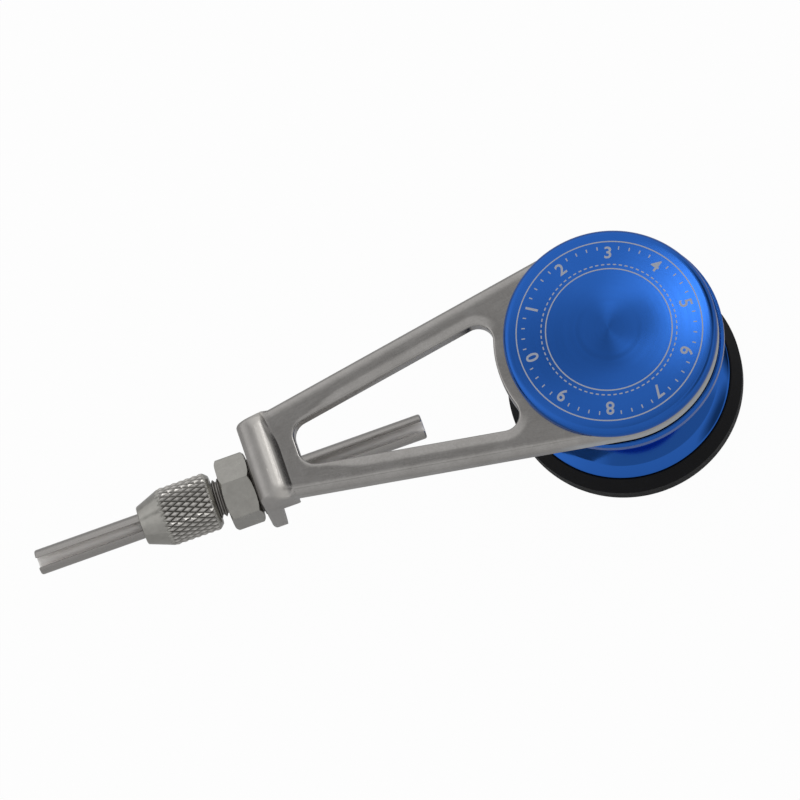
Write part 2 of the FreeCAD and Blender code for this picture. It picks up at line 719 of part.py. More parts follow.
def line_tube():
    """Polished tube with a slot along its whole length and rounded ends."""
    tube = turned(
        [
            (TUBE_BORE_R, TUBE_TIP_X, TUBE_EDGE_R),
            (TUBE_R, TUBE_TIP_X, TUBE_EDGE_R),
            (TUBE_R, TUBE_INNER_X, TUBE_EDGE_R),
            (TUBE_BORE_R, TUBE_INNER_X, TUBE_EDGE_R),
        ]
    )
    length = TUBE_INNER_X - TUBE_TIP_X + 2 * OVERRUN
    # on_nozzle carries -X to +Z, so the slot is cut on the -X side and turned towards -Y
    slot_corner = Vec(-FAR, -TUBE_SLOT_W / 2, TUBE_TIP_X - OVERRUN)
    slot = Part.makeBox(FAR, TUBE_SLOT_W, length, slot_corner)
    slot.rotate(Vec(0, 0, 0), UP, TUBE_SLOT_TURN)
    return on_nozzle(tube.cut(slot))


# ---------------------------------------------------------------- parts
export(frame(), "frame")
export(drag_knob(), "drag_knob")
export(knob_insert(), "knob_insert")
export(pressure_washer(), "pressure_washer")
export(disc_springs(), "disc_springs")
export(axle_bolt(), "axle_bolt")
export(
    washer(FRONT_WASHER_R, AXLE_R + 0.2, FLANGE_FRONT_Z + FACE_GAP, ARM_BACK_Z), "front_drag_washer"
)
export(
    washer(THRUST_WASHER_R, AXLE_R + RUNNING, THRUST_WASHER_Z, REAR_WASHER_Z), "rear_thrust_washer"
)
export(
    washer(REAR_WASHER_R, AXLE_R + 0.1, REAR_WASHER_Z, RECESS_FLOOR_Z - FACE_GAP), "rear_drag_washer"
)
export(spool(), "spool")
export(bush(FLANGE_FRONT_Z, -1), "front_bush")
export(bush(RECESS_FLOOR_Z, 1), "rear_bush")
export(rear_cap(), "rear_cap")
export(rubber_ring(), "rubber_ring")
export(collet_stud(), "collet_stud")
export(lock_washer(), "lock_washer")
export(lock_nut(), "lock_nut")
export(split_collet(), "split_collet")
export(collet_cap(), "collet_cap")
export(line_tube(), "line_tube")
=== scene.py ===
"""Looks of the single-arm bobbin knotter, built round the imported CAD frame.

Blender works in metres; the sizes named below are in millimetres and are turned into metres by MM.
"""

import math

import bmesh
import bpy
import numpy as np
from mathutils import Matrix, Vector
from mathutils.geometry import delaunay_2d_cdt

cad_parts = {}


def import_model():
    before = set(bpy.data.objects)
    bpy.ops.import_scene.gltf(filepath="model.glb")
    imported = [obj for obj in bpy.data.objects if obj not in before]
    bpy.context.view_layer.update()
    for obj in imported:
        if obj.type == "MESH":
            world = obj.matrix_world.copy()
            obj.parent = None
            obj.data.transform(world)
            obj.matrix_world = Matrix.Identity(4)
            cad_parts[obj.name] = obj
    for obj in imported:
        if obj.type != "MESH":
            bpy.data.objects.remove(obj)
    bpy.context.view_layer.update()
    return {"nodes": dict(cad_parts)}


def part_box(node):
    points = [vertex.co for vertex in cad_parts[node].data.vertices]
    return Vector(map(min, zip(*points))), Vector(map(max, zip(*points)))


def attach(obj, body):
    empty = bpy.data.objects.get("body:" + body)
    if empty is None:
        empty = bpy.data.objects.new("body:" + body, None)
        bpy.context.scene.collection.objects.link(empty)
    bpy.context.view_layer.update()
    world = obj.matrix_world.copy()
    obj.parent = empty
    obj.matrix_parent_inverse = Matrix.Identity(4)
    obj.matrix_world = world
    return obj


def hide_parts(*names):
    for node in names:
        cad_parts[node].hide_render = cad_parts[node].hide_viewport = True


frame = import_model()

MM = 0.001
TURN = 2 * math.pi
NODES = frame["nodes"]


def low(node):
    """Lowest corner of a CAD node, in millimetres."""
    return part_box(node)[0] / MM


def high(node):
    """Highest corner of a CAD node, in millimetres."""
    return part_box(node)[1] / MM


# -------- sizes, millimetres
NOZZLE_Z = (low("collet_cap").z + high("collet_cap").z) / 2
ARM_BACK_Z = high("front_drag_washer").z
ARM_T = 2.4
ARM_FRONT_Z = ARM_BACK_Z + ARM_T
SHOULDER_X = -52.95  # foot of the slope from the pad down to the arm
PAD_X = -54.25  # crest of the pad
PAD_RISE = 0.8
PAD_LEAN = 0.85
BEND_RISE = 1.35  # the pad's line, carried on to the bridge's face
BEND_R = 2.4
BLOCK_HALF_W = 7.2
BLOCK_ROUND_R = 1.35
ARM_TAPER = math.radians(10)  # each long edge to the centre line
BRIDGE_X = low("frame").x
BRIDGE_INNER_X = BRIDGE_X + 2.3

KNOB_R = high("drag_knob").x
KNOB_BASE_Z = low("drag_knob").z
KNOB_TOP_Z = high("drag_knob").z
KNOB_RIM_R = 1.35
KNOB_FOOT_R = 0.15
KNOB_DOME_R = 77.0
KNOB_RECESS_R = 7.5
KNOB_RECESS_Z = 28.6
KNOB_BORE_R = 4.0
KNOB_BORE_Z = 29.7

SPOOL_FRONT_Z = high("spool").z
SPOOL_BACK_Z = low("spool").z
FLANGE_R = high("spool").x
FLANGE_T = 2.0
REAR_RIM_R = 16.4
REAR_RIM_Z = 5.8
RING_SEAT = 0.3  # chamfers of the rear rim, under the ring
RING_R = high("rubber_ring").x

WASHER_T = 0.6
STUD_END_X = low("collet_stud").x
STUD_R = 3.0
THREAD_PITCH = 0.75
THREAD_DEPTH = 0.42

CAP_BASE_X = high("collet_cap").x
CAP_NOSE_X = low("collet_cap").x
CAP_R = high("collet_cap").y
CAP_SHOULDER_X = -73.04  # where the conical nose starts
CAP_BASE_BREAK = 0.72
KNURL_STARTS = 31
KNURL_HELIX_DEG = 23.5
KNURL_DEPTH = 0.30
TUBE_TIP_X = low("line_tube").x
TUBE_INNER_X = high("line_tube").x


# -------- node materials
class Graph:
    """The node tree of a material or a world, written as calls that return sockets."""

    def __init__(self, block):
        self.block = block
        block.use_nodes = True
        self.tree = block.node_tree
        self.tree.nodes.clear()

    def node(self, kind, inputs=(), **settings):
        made = self.tree.nodes.new(kind)
        for key, value in settings.items():
            setattr(made, key, value)
        for key, value in dict(inputs).items():
            self.feed(made.inputs[key], value)
        return made

    def feed(self, socket, value):
        if isinstance(value, bpy.types.NodeSocket):
            self.tree.links.new(value, socket)
        else:
            socket.default_value = value

    def math(self, operation, *values):
        made = self.node("ShaderNodeMath", operation=operation)
        for socket, value in zip(made.inputs, values):
            self.feed(socket, value)
        return made.outputs[0]

    def times(self, a, b):
        return self.math("MULTIPLY", a, b)

    def plus(self, a, b):
        return self.math("ADD", a, b)

    def minus(self, a, b):
        return self.math("SUBTRACT", a, b)

    def hypot(self, a, b):
        return self.math("SQRT", self.plus(self.times(a, a), self.times(b, b)))

    def vectors(self, operation, *inputs, output="Vector"):
        made = self.node("ShaderNodeVectorMath", enumerate(inputs), operation=operation)
        return made.outputs[output]

    def place(self):
        """Place on the object, in millimetres."""
        coords = self.node("ShaderNodeTexCoord").outputs["Object"]
        inputs = {"Vector": coords, "Scale": 1 / MM}
        return self.node("ShaderNodeVectorMath", inputs, operation="SCALE").outputs[0]

    def split(self, vector):
        return self.node("ShaderNodeSeparateXYZ", {"Vector": vector}).outputs

    def join(self, x, y, z):
        return self.node("ShaderNodeCombineXYZ", {"X": x, "Y": y, "Z": z}).outputs[0]

    def noise(self, vector, scale, detail, roughness):
        inputs = {"Vector": vector, "Scale": scale, "Detail": detail, "Roughness": roughness}
        return self.node("ShaderNodeTexNoise", inputs).outputs["Fac"]

    def grain(self, x, y, z, along, across, detail, roughness):
        """Noise with its own fineness, per millimetre, along X and across it."""
        stretched = self.join(self.times(x, along), self.times(y, across), self.times(z, across))
        return self.noise(stretched, 1.0, detail, roughness)

    def remap(self, value, low_in, high_in, low_out=0.0, high_out=1.0):
        inputs = {0: value, 1: low_in, 2: high_in, 3: low_out, 4: high_out}
        return self.node("ShaderNodeMapRange", inputs).outputs[0]

    def fade(self, value, low_in, high_in):
        return self.remap(value, low_in, high_in, 1.0, 0.0)

    def mix(self, factor, a, b):
        made = self.node("ShaderNodeMix", data_type="RGBA")
        self.feed(made.inputs[0], factor)
        self.feed(made.inputs[6], a)
        self.feed(made.inputs[7], b)
        return made.outputs[2]

    def blend(self, factor, a, b):
        return self.node("ShaderNodeMixShader", {0: factor, 1: a, 2: b}).outputs[0]

    def bump(self, height, strength, distance_mm):
        inputs = {"Height": height, "Strength": strength, "Distance": distance_mm * MM}
        return self.node("ShaderNodeBump", inputs).outputs[0]

    def finish(self, **inputs):
        """Principled surface with these inputs; underscores stand for spaces."""
        shader = self.node("ShaderNodeBsdfPrincipled")
        for key, value in inputs.items():
            self.feed(shader.inputs[key.replace("_", " ")], value)
        out = self.node("ShaderNodeOutputMaterial")
        self.tree.links.new(shader.outputs[0], out.inputs[0])
        return self.block


def rgb(red, green, blue):
    return (red, green, blue, 1.0)


def material_graph(name):
    return Graph(bpy.data.materials.new(name))


def placed_graph(name):
    """A material's graph, the place in it and that place's three parts."""
    g = material_graph(name)
    mm = g.place()
    return g, mm, *g.split(mm)


def satin_steel():
    """Tumbled and hand polished strip: grain along the bars, faint cross scratches, cloudy sheen."""
    g, mm, x, y, z = placed_graph("satin_steel")
    # the grain follows each bar, and the bars lean to the centre line by the arm's taper
    lean = math.tan(ARM_TAPER)
    across = g.plus(g.math("ABSOLUTE", y), g.times(x, -lean))
    grain = g.grain(x, across, z, 0.35, 9.0, 3.0, 0.6)
    cloud = g.times(g.plus(g.noise(mm, 0.35, 3.0, 0.55), g.noise(mm, 2.6, 4.0, 0.7)), 0.5)
    pits = g.noise(mm, 7.0, 2.0, 0.6)
    height = g.plus(g.times(grain, 0.7), g.times(pits, 0.45))
    # the bent block is only emery finished
    block = g.fade(x, SHOULDER_X - 0.9, SHOULDER_X - 0.2)
    polish = g.remap(grain, 0.3, 0.7, 0.15, 0.23)
    # painted highlight: the wall of the arm's round end is painted lighter, and its shading normals lean
    # up to the light
    wall = g.times(g.remap(g.hypot(x, y), 15.9, 16.15), g.remap(x, -14.0, -10.0))
    wall = g.times(wall, g.fade(z, ARM_BACK_Z + 1.3, ARM_BACK_Z + 1.9))
    coarse = g.times(block, g.noise(mm, 3.6, 2.0, 0.6))
    height = g.plus(height, g.times(coarse, 1.6))
    steel = g.mix(g.remap(cloud, 0.35, 0.65), rgb(0.41, 0.395, 0.38), rgb(0.49, 0.475, 0.46))
    # painted highlight: the pad's crest is painted lighter, where the light catches the bend
    crest = g.times(g.remap(x, -56.4, -54.8), g.fade(x, -54.0, -53.6))
    crest = g.times(crest, g.remap(z, ARM_FRONT_Z - 1.0, ARM_FRONT_Z + 0.2))
    steel = g.mix(crest, steel, rgb(0.68, 0.655, 0.62))
    lift = g.join(0.0, 0.0, g.times(wall, 0.32))
    lifted = g.vectors("ADD", g.bump(height, 0.35, 0.012), lift)
    return g.finish(
        # the end wall's painted highlight
        Base_Color=g.mix(wall, steel, rgb(0.60, 0.62, 0.64)),
        Metallic=1.0,
        Roughness=g.plus(polish, g.times(block, g.remap(pits, 0.3, 0.7, 0.10, 0.24))),
        Normal=g.vectors("NORMALIZE", lifted),
    )


def turned_steel(name, colour_a, colour_b, roughness, knurled=False):
    """Steel turned about the nozzle's axis: fine rings along X, with cloudy patches of wear; a knurled
    cap gets painted shade in its cuts and a painted highlight on its diamonds.
    """
    g, mm, x, y, z = placed_graph(name)
    rings = g.grain(x, y, z, 1 / 0.14, 0.12, 2.0, 0.5)
    cloud = g.noise(mm, 0.9, 3.0, 0.6)
    pits = g.noise(mm, 9.0, 2.0, 0.6)
    height = g.plus(g.times(rings, 0.6), g.times(pits, 0.4))
    colour = g.mix(g.remap(cloud, 0.3, 0.7), colour_a, colour_b)
    if knurled:
        # painted shade in the cuts and painted highlight on the diamonds: darker towards the bottom of
        # each cut, lighter towards the tops
        radius = g.hypot(y, g.minus(z, NOZZLE_Z))
        knurl_shade_and_highlight = g.remap(radius, CAP_R - KNURL_DEPTH, CAP_R - 0.05)
        body = g.fade(x, CAP_BASE_X - 0.75, CAP_BASE_X - 0.65)
        body = g.times(g.remap(x, CAP_SHOULDER_X - 0.26, CAP_SHOULDER_X + 0.04), body)
        colour = g.mix(body, colour, g.mix(knurl_shade_and_highlight, rgb(0.12, 0.115, 0.105), rgb(0.66, 0.64, 0.61)))
    return g.finish(
        Base_Color=colour,
        Metallic=1.0,
        Roughness=g.remap(cloud, 0.3, 0.7, roughness - 0.05, roughness + 0.06),
        Normal=g.bump(height, 0.4, 0.010),
    )


def polished_tube():
    """Ground tube: fine scratches along its length."""
    g, _, x, y, z = placed_graph("polished_tube")
    scratches = g.grain(x, y, z, 0.4, 14.0, 2.0, 0.6)
    radius = g.hypot(y, g.minus(z, NOZZLE_Z))
    # painted light: the bore is painted far lighter than the brushed outside, to lift the shade inside
    # it
    outside = g.remap(radius, 1.42, 1.62)
    return g.finish(
        Base_Color=g.mix(outside, rgb(0.92, 0.90, 0.88), rgb(0.42, 0.405, 0.39)),
        Metallic=1.0,
        Roughness=g.minus(g.remap(scratches, 0.3, 0.7, 0.46, 0.58), g.times(outside, 0.24)),
        Normal=g.bump(scratches, 0.3, 0.008),
    )


def blue_anodised(name, roughness, depth_mm, anisotropic):
    """Aluminium turned about the axle and dyed blue: fine rings that draw the light into a fan."""
    g, mm, x, y, z = placed_graph(name)
    radius = g.hypot(x, y)
    rings = g.noise(g.join(g.times(radius, 11.0), g.times(z, 11.0), 0.0), 1.0, 2.0, 0.6)
    broad = g.noise(g.join(radius, z, 0.0), 1.3, 2.0, 0.5)
    dye = g.noise(mm, 0.12, 2.0, 0.5)
    tangent = g.node("ShaderNodeTangent", direction_type="RADIAL", axis="Z").outputs[0]
    return g.finish(
        Base_Color=g.mix(dye, rgb(0.028, 0.140, 0.56), rgb(0.034, 0.160, 0.63)),
        Metallic=1.0,
        Roughness=g.remap(broad, 0.3, 0.7, roughness - 0.02, roughness + 0.03),
        Anisotropic=anisotropic,
        Tangent=tangent,
        Normal=g.bump(rings, 0.5, depth_mm),
    )


def laser_mark():
    """Dye burnt off the anodised skin: pale and fine grained."""
    g = material_graph("laser_mark")
    speckle = g.noise(g.place(), 16.0, 2.0, 0.6)
    return g.finish(
        Base_Color=g.mix(speckle, rgb(0.36, 0.40, 0.50), rgb(0.52, 0.55, 0.64)),
        Metallic=0.25,
        Roughness=0.5,
    )


def black_rubber():
    """Moulded rubber, matt and faintly mottled."""
    g = material_graph("black_rubber")
    mm = g.place()
    fine = g.noise(mm, 5.0, 3.0, 0.6)
    cloud = g.noise(mm, 0.5, 2.0, 0.5)
    return g.finish(
        Base_Color=g.mix(cloud, rgb(0.004, 0.004, 0.005), rgb(0.009, 0.009, 0.010)),
        Roughness=g.remap(cloud, 0.3, 0.7, 0.38, 0.50),
        Specular_IOR_Level=0.14,
        Normal=g.bump(fine, 0.35, 0.02),
    )


def drag_fibre():
    """Pressed carbon and fibre cloth of the drag washers."""
    g = material_graph("drag_fibre")
    mm = g.place()
    weave = g.node("ShaderNodeTexChecker", {"Vector": mm, "Scale": 1.6}).outputs["Fac"]
    fuzz = g.noise(mm, 8.0, 3.0, 0.7)
    return g.finish(
        Base_Color=g.mix(g.times(weave, fuzz), rgb(0.03, 0.028, 0.025), rgb(0.12, 0.105, 0.09)),
        Roughness=0.7,
        Normal=g.bump(fuzz, 0.5, 0.03),
    )


def turned_metal(name, colour_a, colour_b, roughness):
    """Metal turned about the axle, for the pieces inside the drag."""
    g, mm, x, y, z = placed_graph(name)
    rings = g.noise(g.join(g.times(g.hypot(x, y), 9.0), g.times(z, 9.0), 0.0), 1.0, 2.0, 0.6)
    cloud = g.noise(mm, 1.2, 3.0, 0.6)
    return g.finish(
        Base_Color=g.mix(cloud, colour_a, colour_b),
        Metallic=1.0,
        Roughness=g.remap(cloud, 0.3, 0.7, roughness - 0.05, roughness + 0.07),
        Normal=g.bump(rings, 0.5, 0.01),
    )


STEEL = satin_steel()
NOZZLE_TONES = (rgb(0.39, 0.38, 0.355), rgb(0.46, 0.45, 0.42))
NOZZLE_STEEL = turned_steel("nozzle_steel", *NOZZLE_TONES, 0.22)
KNURLED_STEEL = turned_steel("knurled_steel", *NOZZLE_TONES, 0.20, knurled=True)
THREAD_STEEL = turned_steel("thread_steel", rgb(0.30, 0.29, 0.275), rgb(0.38, 0.365, 0.35), 0.34)
# painted shade: the washer's steel is painted nearly black, for the shade it lies in between the nut and
# the bridge
SHADED_WASHER_STEEL = turned_steel("washer_steel_painted_shade", rgb(0.10, 0.095, 0.09), rgb(0.17, 0.16, 0.15), 0.34)
TUBE_STEEL = polished_tube()
BLUE_KNOB = blue_anodised("blue_knob", 0.22, 0.0045, 0.8)
BLUE_SPOOL = blue_anodised("blue_spool", 0.08, 0.0015, 0.3)
MARK = laser_mark()
RUBBER = black_rubber()
FIBRE = drag_fibre()
BRASS = turned_metal("turned_brass", rgb(0.62, 0.44, 0.16), rgb(0.78, 0.58, 0.25), 0.28)
BRONZE = turned_metal("sintered_bronze", rgb(0.42, 0.26, 0.13), rgb(0.56, 0.37, 0.20), 0.45)
SPRING = turned_metal("spring_steel", rgb(0.33, 0.33, 0.34), rgb(0.45, 0.45, 0.46), 0.25)
AXLE_STEEL = turned_metal("axle_steel", rgb(0.50, 0.49, 0.47), rgb(0.62, 0.61, 0.59), 0.26)


# -------- mesh helpers
def add_object(name, data):
    made = bpy.data.objects.new(name, data)
    bpy.context.scene.collection.objects.link(made)
    return made


def on_axle(radius, height, angle):
    """Point about the axle's axis."""
    return (radius * math.cos(angle), radius * math.sin(angle), height)


def on_nozzle(radius, height, angle):
    """Point about the nozzle's axis: height is X, and angle 0 points up, turning towards -Y."""
    return (height, -radius * math.sin(angle), NOZZLE_Z + radius * math.cos(angle))


MERGE_MM = 2e-4
CRISP_DEG = 8


def make_piece(
    name, verts, faces, material, body, replaces=(), sharp_deg=32, weighted=True, crisp=None
):
    """Closed mesh piece in millimetres, shaded smooth with sharp edges kept, riding on a body.

    Inner corners whose ends both lie where crisp(place) is true stay sharp from CRISP_DEG on.
    """
    mesh = bpy.data.meshes.new(name)
    mesh.from_pydata([Vector(v) * MM for v in verts], [], faces)
    bm = bmesh.new()
    bm.from_mesh(mesh)
    bmesh.ops.remove_doubles(bm, verts=bm.verts, dist=MERGE_MM * MM)
    bmesh.ops.dissolve_degenerate(bm, edges=bm.edges, dist=MERGE_MM * MM)
    bmesh.ops.recalc_face_normals(bm, faces=bm.faces)
    kept_crisp = []
    if crisp:
        bm.edges.index_update()
        near = [e for e in bm.edges if all(crisp(v.co / MM) for v in e.verts)]
        kept_crisp = [e.index for e in near if e.calc_face_angle_signed(0.0) < -math.radians(CRISP_DEG)]
    bm.to_mesh(mesh)
    bm.free()
    mesh.shade_smooth()
    mesh.set_sharp_from_angle(angle=math.radians(sharp_deg))
    for i in kept_crisp:
        mesh.edges[i].use_edge_sharp = True
    mesh.materials.append(material)
    piece = add_object(name, mesh)
    if weighted:
        piece.modifiers.new("weighted", "WEIGHTED_NORMAL").keep_sharp = True
    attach(piece, body)
    if replaces:
        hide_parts(*replaces)


def rounded(corners, steps):
    """Outline through (u, v, radius) corners, each rounded by an arc of that radius."""
    points = []
    for i, (u, v, radius) in enumerate(corners):
        corner = Vector((u, v))
        if not radius:
            points.append(tuple(corner))
            continue
        a = (Vector(corners[i - 1][:2]) - corner).normalized()
        b = (Vector(corners[(i + 1) % len(corners)][:2]) - corner).normalized()
        half = a.angle(b) / 2
        middle = (a + b).normalized()
        centre = corner + middle * (radius / math.sin(half))
        start = corner + a * (radius / math.tan(half)) - centre
        turn = start.angle_signed(corner + b * (radius / math.tan(half)) - centre)
        for k in range(steps + 1):
            angle = -turn * k / steps
            cos, sin = math.cos(angle), math.sin(angle)
            spoke = Vector((start.x * cos - start.y * sin, start.x * sin + start.y * cos))
            points.append(tuple(centre + spoke))
    return points


def loop_faces(loops, count, around=True, base=0):
    """Quads between closed loops of count points each; around joins the last loop to the first."""
    faces = []
    for k in range(loops if around else loops - 1):
        here = base + k * count
        there = base + (k + 1) % loops * count
        for i in range(count):
            j = (i + 1) % count
            faces.append((here + i, here + j, there + j, there + i))
    return faces


def turned(outline, segments, place):
    """Vertices and faces of a solid turned from (radius, height) points; radius 0 closes on the axis."""
    verts = [place(r, h, TURN * k / segments) for k in range(segments) for r, h in outline]
    count = len(outline)
    faces = loop_faces(segments, count)
    return verts, [f for f in faces if outline[f[0] % count][0] or outline[f[1] % count][0]]


# -------- knob
def dome_z(radius):
    """Height of the knob's domed face."""
    return KNOB_TOP_Z - KNOB_DOME_R + math.sqrt(KNOB_DOME_R**2 - radius**2)


def drag_knob():
    """Domed disc with a round rim, hollow below for the drag stack."""
    reach = KNOB_DOME_R - KNOB_RIM_R
    rim_r = KNOB_R - KNOB_RIM_R
    rim_z = KNOB_TOP_Z - KNOB_DOME_R + math.sqrt(reach**2 - rim_r**2)
    lean = math.asin(rim_r / reach)
    dome_rings = 24
    dome = [rim_r * KNOB_DOME_R / reach * k / dome_rings for k in range(dome_rings)]
    outline = [(r, dome_z(r)) for r in dome]
    rim_steps = 14
    for k in range(rim_steps + 1):
        angle = lean + (math.pi / 2 - lean) * k / rim_steps
        outline.append((rim_r + KNOB_RIM_R * math.sin(angle), rim_z + KNOB_RIM_R * math.cos(angle)))
    foot_steps = 4
    for k in range(foot_steps + 1):
        angle = math.pi / 2 * k / foot_steps
        r = KNOB_R - KNOB_FOOT_R * (1 - math.cos(angle))
        outline.append((r, KNOB_BASE_Z + KNOB_FOOT_R * (1 - math.sin(angle))))
    outline += [
        (KNOB_RECESS_R, KNOB_BASE_Z),
        (KNOB_RECESS_R, KNOB_RECESS_Z),
        (KNOB_BORE_R, KNOB_RECESS_Z),
        (KNOB_BORE_R, KNOB_BORE_Z),
        (0, KNOB_BORE_Z),
    ]
    verts, faces = turned(outline, 256, on_axle)
    make_piece("knob_shell", verts, faces, BLUE_KNOB, "knob", ["drag_knob"])


MARK_PROUD = 0.012
MARK_SUNK = 0.05


def mark_patch(verts, faces, r0, r1, a0, a1, steps):
    """Adds a thin closed slab on the dome between two radii and two angles."""
    whole = abs(a1 - a0 - TURN) < 1e-9
    base = len(verts)
    rows = steps if whole else steps + 1
    for k in range(rows):
        angle = a0 + (a1 - a0) * k / steps
        for r, lift in ((r0, MARK_PROUD), (r1, MARK_PROUD), (r1, -MARK_SUNK), (r0, -MARK_SUNK)):
            verts.append(on_axle(r, dome_z(r) + lift, angle))
    faces += loop_faces(rows, 4, whole, base)
    if not whole:
        end = base + 4 * (rows - 1)
        faces.append((base, base + 1, base + 2, base + 3))
        faces.append((end + 3, end + 2, end + 1, end))


OUTER_CIRCLE_R = 14.14
INNER_CIRCLE_R = 9.6
DASH_CIRCLE_R = 10.3
CIRCLE_W = 0.19
DASHES = 72
DASH_SHARE = 0.55
DIAL_NUMBERS = 10
NUMBER_R = 12.3
NUMBER_H = 2.0
NUMBER_BOLD = 0.018  # stroke added on each side, of the font's size
TICKS_PER_NUMBER = 5
TICK_R = 13.35
TICK_LEN = 0.55


def dial_marks():
    """Laser marks: two circles, a dashed circle between them and a tick ring for the numbers."""
    verts, faces = [], []
    half_w = CIRCLE_W / 2
    for radius in (OUTER_CIRCLE_R, INNER_CIRCLE_R):
        mark_patch(verts, faces, radius - half_w, radius + half_w, 0, TURN, 256)
    for k in range(DASHES):
        start = TURN * k / DASHES
        end = start + TURN / DASHES * DASH_SHARE
        mark_patch(verts, faces, DASH_CIRCLE_R - half_w, DASH_CIRCLE_R + half_w, start, end, 3)
    ticks = DIAL_NUMBERS * TICKS_PER_NUMBER
    for k in range(ticks):
        if k % TICKS_PER_NUMBER:
            a, half = math.pi + TURN * k / ticks, half_w / TICK_R
            mark_patch(verts, faces, TICK_R - TICK_LEN, TICK_R, a - half, a + half, 1)
    make_piece("dial_marks", verts, faces, MARK, "knob", (), 30, False)


def letter_mesh(text):
    """Closed flat letters in the XY plane, middled on the origin, as vertices and faces."""
    curve = bpy.data.curves.new("letters", "FONT")
    curve.body = text
    curve.size = 1.0
    curve.offset = NUMBER_BOLD
    curve.extrude = (MARK_PROUD + MARK_SUNK) / 2
    curve.resolution_u = 4
    holder = add_object("letters", curve)
    bpy.context.view_layer.update()
    graph = bpy.context.evaluated_depsgraph_get()
    mesh = bpy.data.meshes.new_from_object(holder.evaluated_get(graph))
    points = np.array([v.co for v in mesh.vertices])
    polygons = [tuple(p.vertices) for p in mesh.polygons]
    bpy.data.objects.remove(holder)
    flat = points[:, :2]
    lowest, highest = flat.min(0), flat.max(0)
    flat[:] = (flat - (lowest + highest) / 2) * (NUMBER_H / (highest[1] - lowest[1]))
    return points, polygons


def dial_numbers():
    """Plain numbers round the dial, their tops outward."""
    verts, faces = [], []
    for k in range(DIAL_NUMBERS):
        points, polygons = letter_mesh(str(k))
        angle = math.pi - TURN * k / DIAL_NUMBERS
        outward = Vector((math.cos(angle), math.sin(angle)))
        right = Vector((outward.y, -outward.x))
        base = len(verts)
        for u, v, w in points:
            flat = outward * (NUMBER_R + v) + right * u
            lift = MARK_PROUD if w > 0 else -MARK_SUNK
            verts.append((flat.x, flat.y, dome_z(flat.length) + lift))
        faces += [tuple(base + i for i in polygon) for polygon in polygons]
    make_piece("dial_numbers", verts, faces, MARK, "knob", (), 30, False)


# -------- spool and ring
def smooth_curve(points, start_slope, end_slope, steps):
    """Clamped cubic spline through (r, z) points, parametrised by chord length."""
    p = np.array(points, float)
    chord = np.linalg.norm(np.diff(p, axis=0), axis=1)
    count = len(p)
    matrix = np.zeros((count, count))
    right = np.zeros((count, 2))
    matrix[0, 0] = matrix[-1, -1] = 1
    right[0] = start_slope
    right[-1] = end_slope
    for i in range(1, count - 1):
        h0, h1 = chord[i - 1], chord[i]
        matrix[i, i - 1 : i + 2] = (h1, 2 * (h0 + h1), h0)
        right[i] = 3 * (h1 / h0 * (p[i] - p[i - 1]) + h0 / h1 * (p[i + 1] - p[i]))
    slope = np.linalg.solve(matrix, right)
    curve = []
    for i in range(count - 1):
        h = chord[i]
        for k in range(steps):
            s = k / steps
            a = (1 + 2 * s) * (1 - s) ** 2
            b = s * (1 - s) ** 2 * h
            c = s * s * (3 - 2 * s)
            d = s * s * (s - 1) * h
            curve.append(tuple(a * p[i] + b * slope[i] + c * p[i + 1] + d * slope[i + 1]))
    curve.append(tuple(p[-1]))
    return curve


def spool():
    """Waisted spool: softly broken front flange, hollow waist, cone and a rear rim under the ring."""
    rim_break, rim_soft = 0.35, 0.12
    valley_r, valley_z = 11.5, 15.0
    flange_back = SPOOL_FRONT_Z - FLANGE_T
    front_edge = (FLANGE_R - rim_break, flange_back)
    rear_edge = (REAR_RIM_R - RING_SEAT, REAR_RIM_Z)
    middle = (valley_r + 1.8, (flange_back + valley_z) / 2 + 1.5)
    front_slope = Vector((-1, -0.12)).normalized()
    waist = smooth_curve([front_edge, middle, (valley_r, valley_z)], front_slope, (0, -1), 14)
    # straight behind the valley, then a shallow cone out to the chamfer inside the rear rim
    chamfer_w, chamfer_h, cone_slope, bend_r = 1.2, 0.46, 0.27, 0.9
    chamfer = (rear_edge[0] - chamfer_w, REAR_RIM_Z + chamfer_h)
    corner_z = chamfer[1] + (chamfer[0] - valley_r) * cone_slope
    bend = rounded([(valley_r, valley_z, 0), (valley_r, corner_z, bend_r), (*chamfer, 0)], 10)
    start, end = np.array(bend[-2:])
    steps = 10
    cone = [tuple(start + (end - start) * k / steps) for k in range(1, steps + 1)]
    waist += bend[1:-1] + cone + [rear_edge]
    bush_r, bush_flange_r, bush_t = 4.0, 5.5, 0.8
    recess_r, recess_z, cover_r, cover_z = 8.5, 5.6, 11.5, 2.3
    flange = [
        (bush_flange_r, SPOOL_FRONT_Z, 0),
        (FLANGE_R - rim_break, SPOOL_FRONT_Z, rim_soft),
        (FLANGE_R, SPOOL_FRONT_Z - rim_break, rim_soft),
        (FLANGE_R, flange_back + rim_break, rim_soft),
        (*front_edge, 0),
    ]
    flange = rounded(flange, 3)
    back = [
        (REAR_RIM_R, REAR_RIM_Z - RING_SEAT),
        (REAR_RIM_R, SPOOL_BACK_Z + RING_SEAT),
        (REAR_RIM_R - RING_SEAT, SPOOL_BACK_Z),
        (cover_r, SPOOL_BACK_Z),
        (cover_r, cover_z),
        (recess_r, cover_z),
        (recess_r, recess_z),
        (bush_flange_r, recess_z),
        (bush_flange_r, recess_z + bush_t),
        (bush_r, recess_z + bush_t),
        (bush_r, SPOOL_FRONT_Z - bush_t),
        (bush_flange_r, SPOOL_FRONT_Z - bush_t),
    ]
    verts, faces = turned(flange[:-1] + waist + back, 256, on_axle)
    make_piece("spool_body", verts, faces, BLUE_SPOOL, "spool", ["spool"])


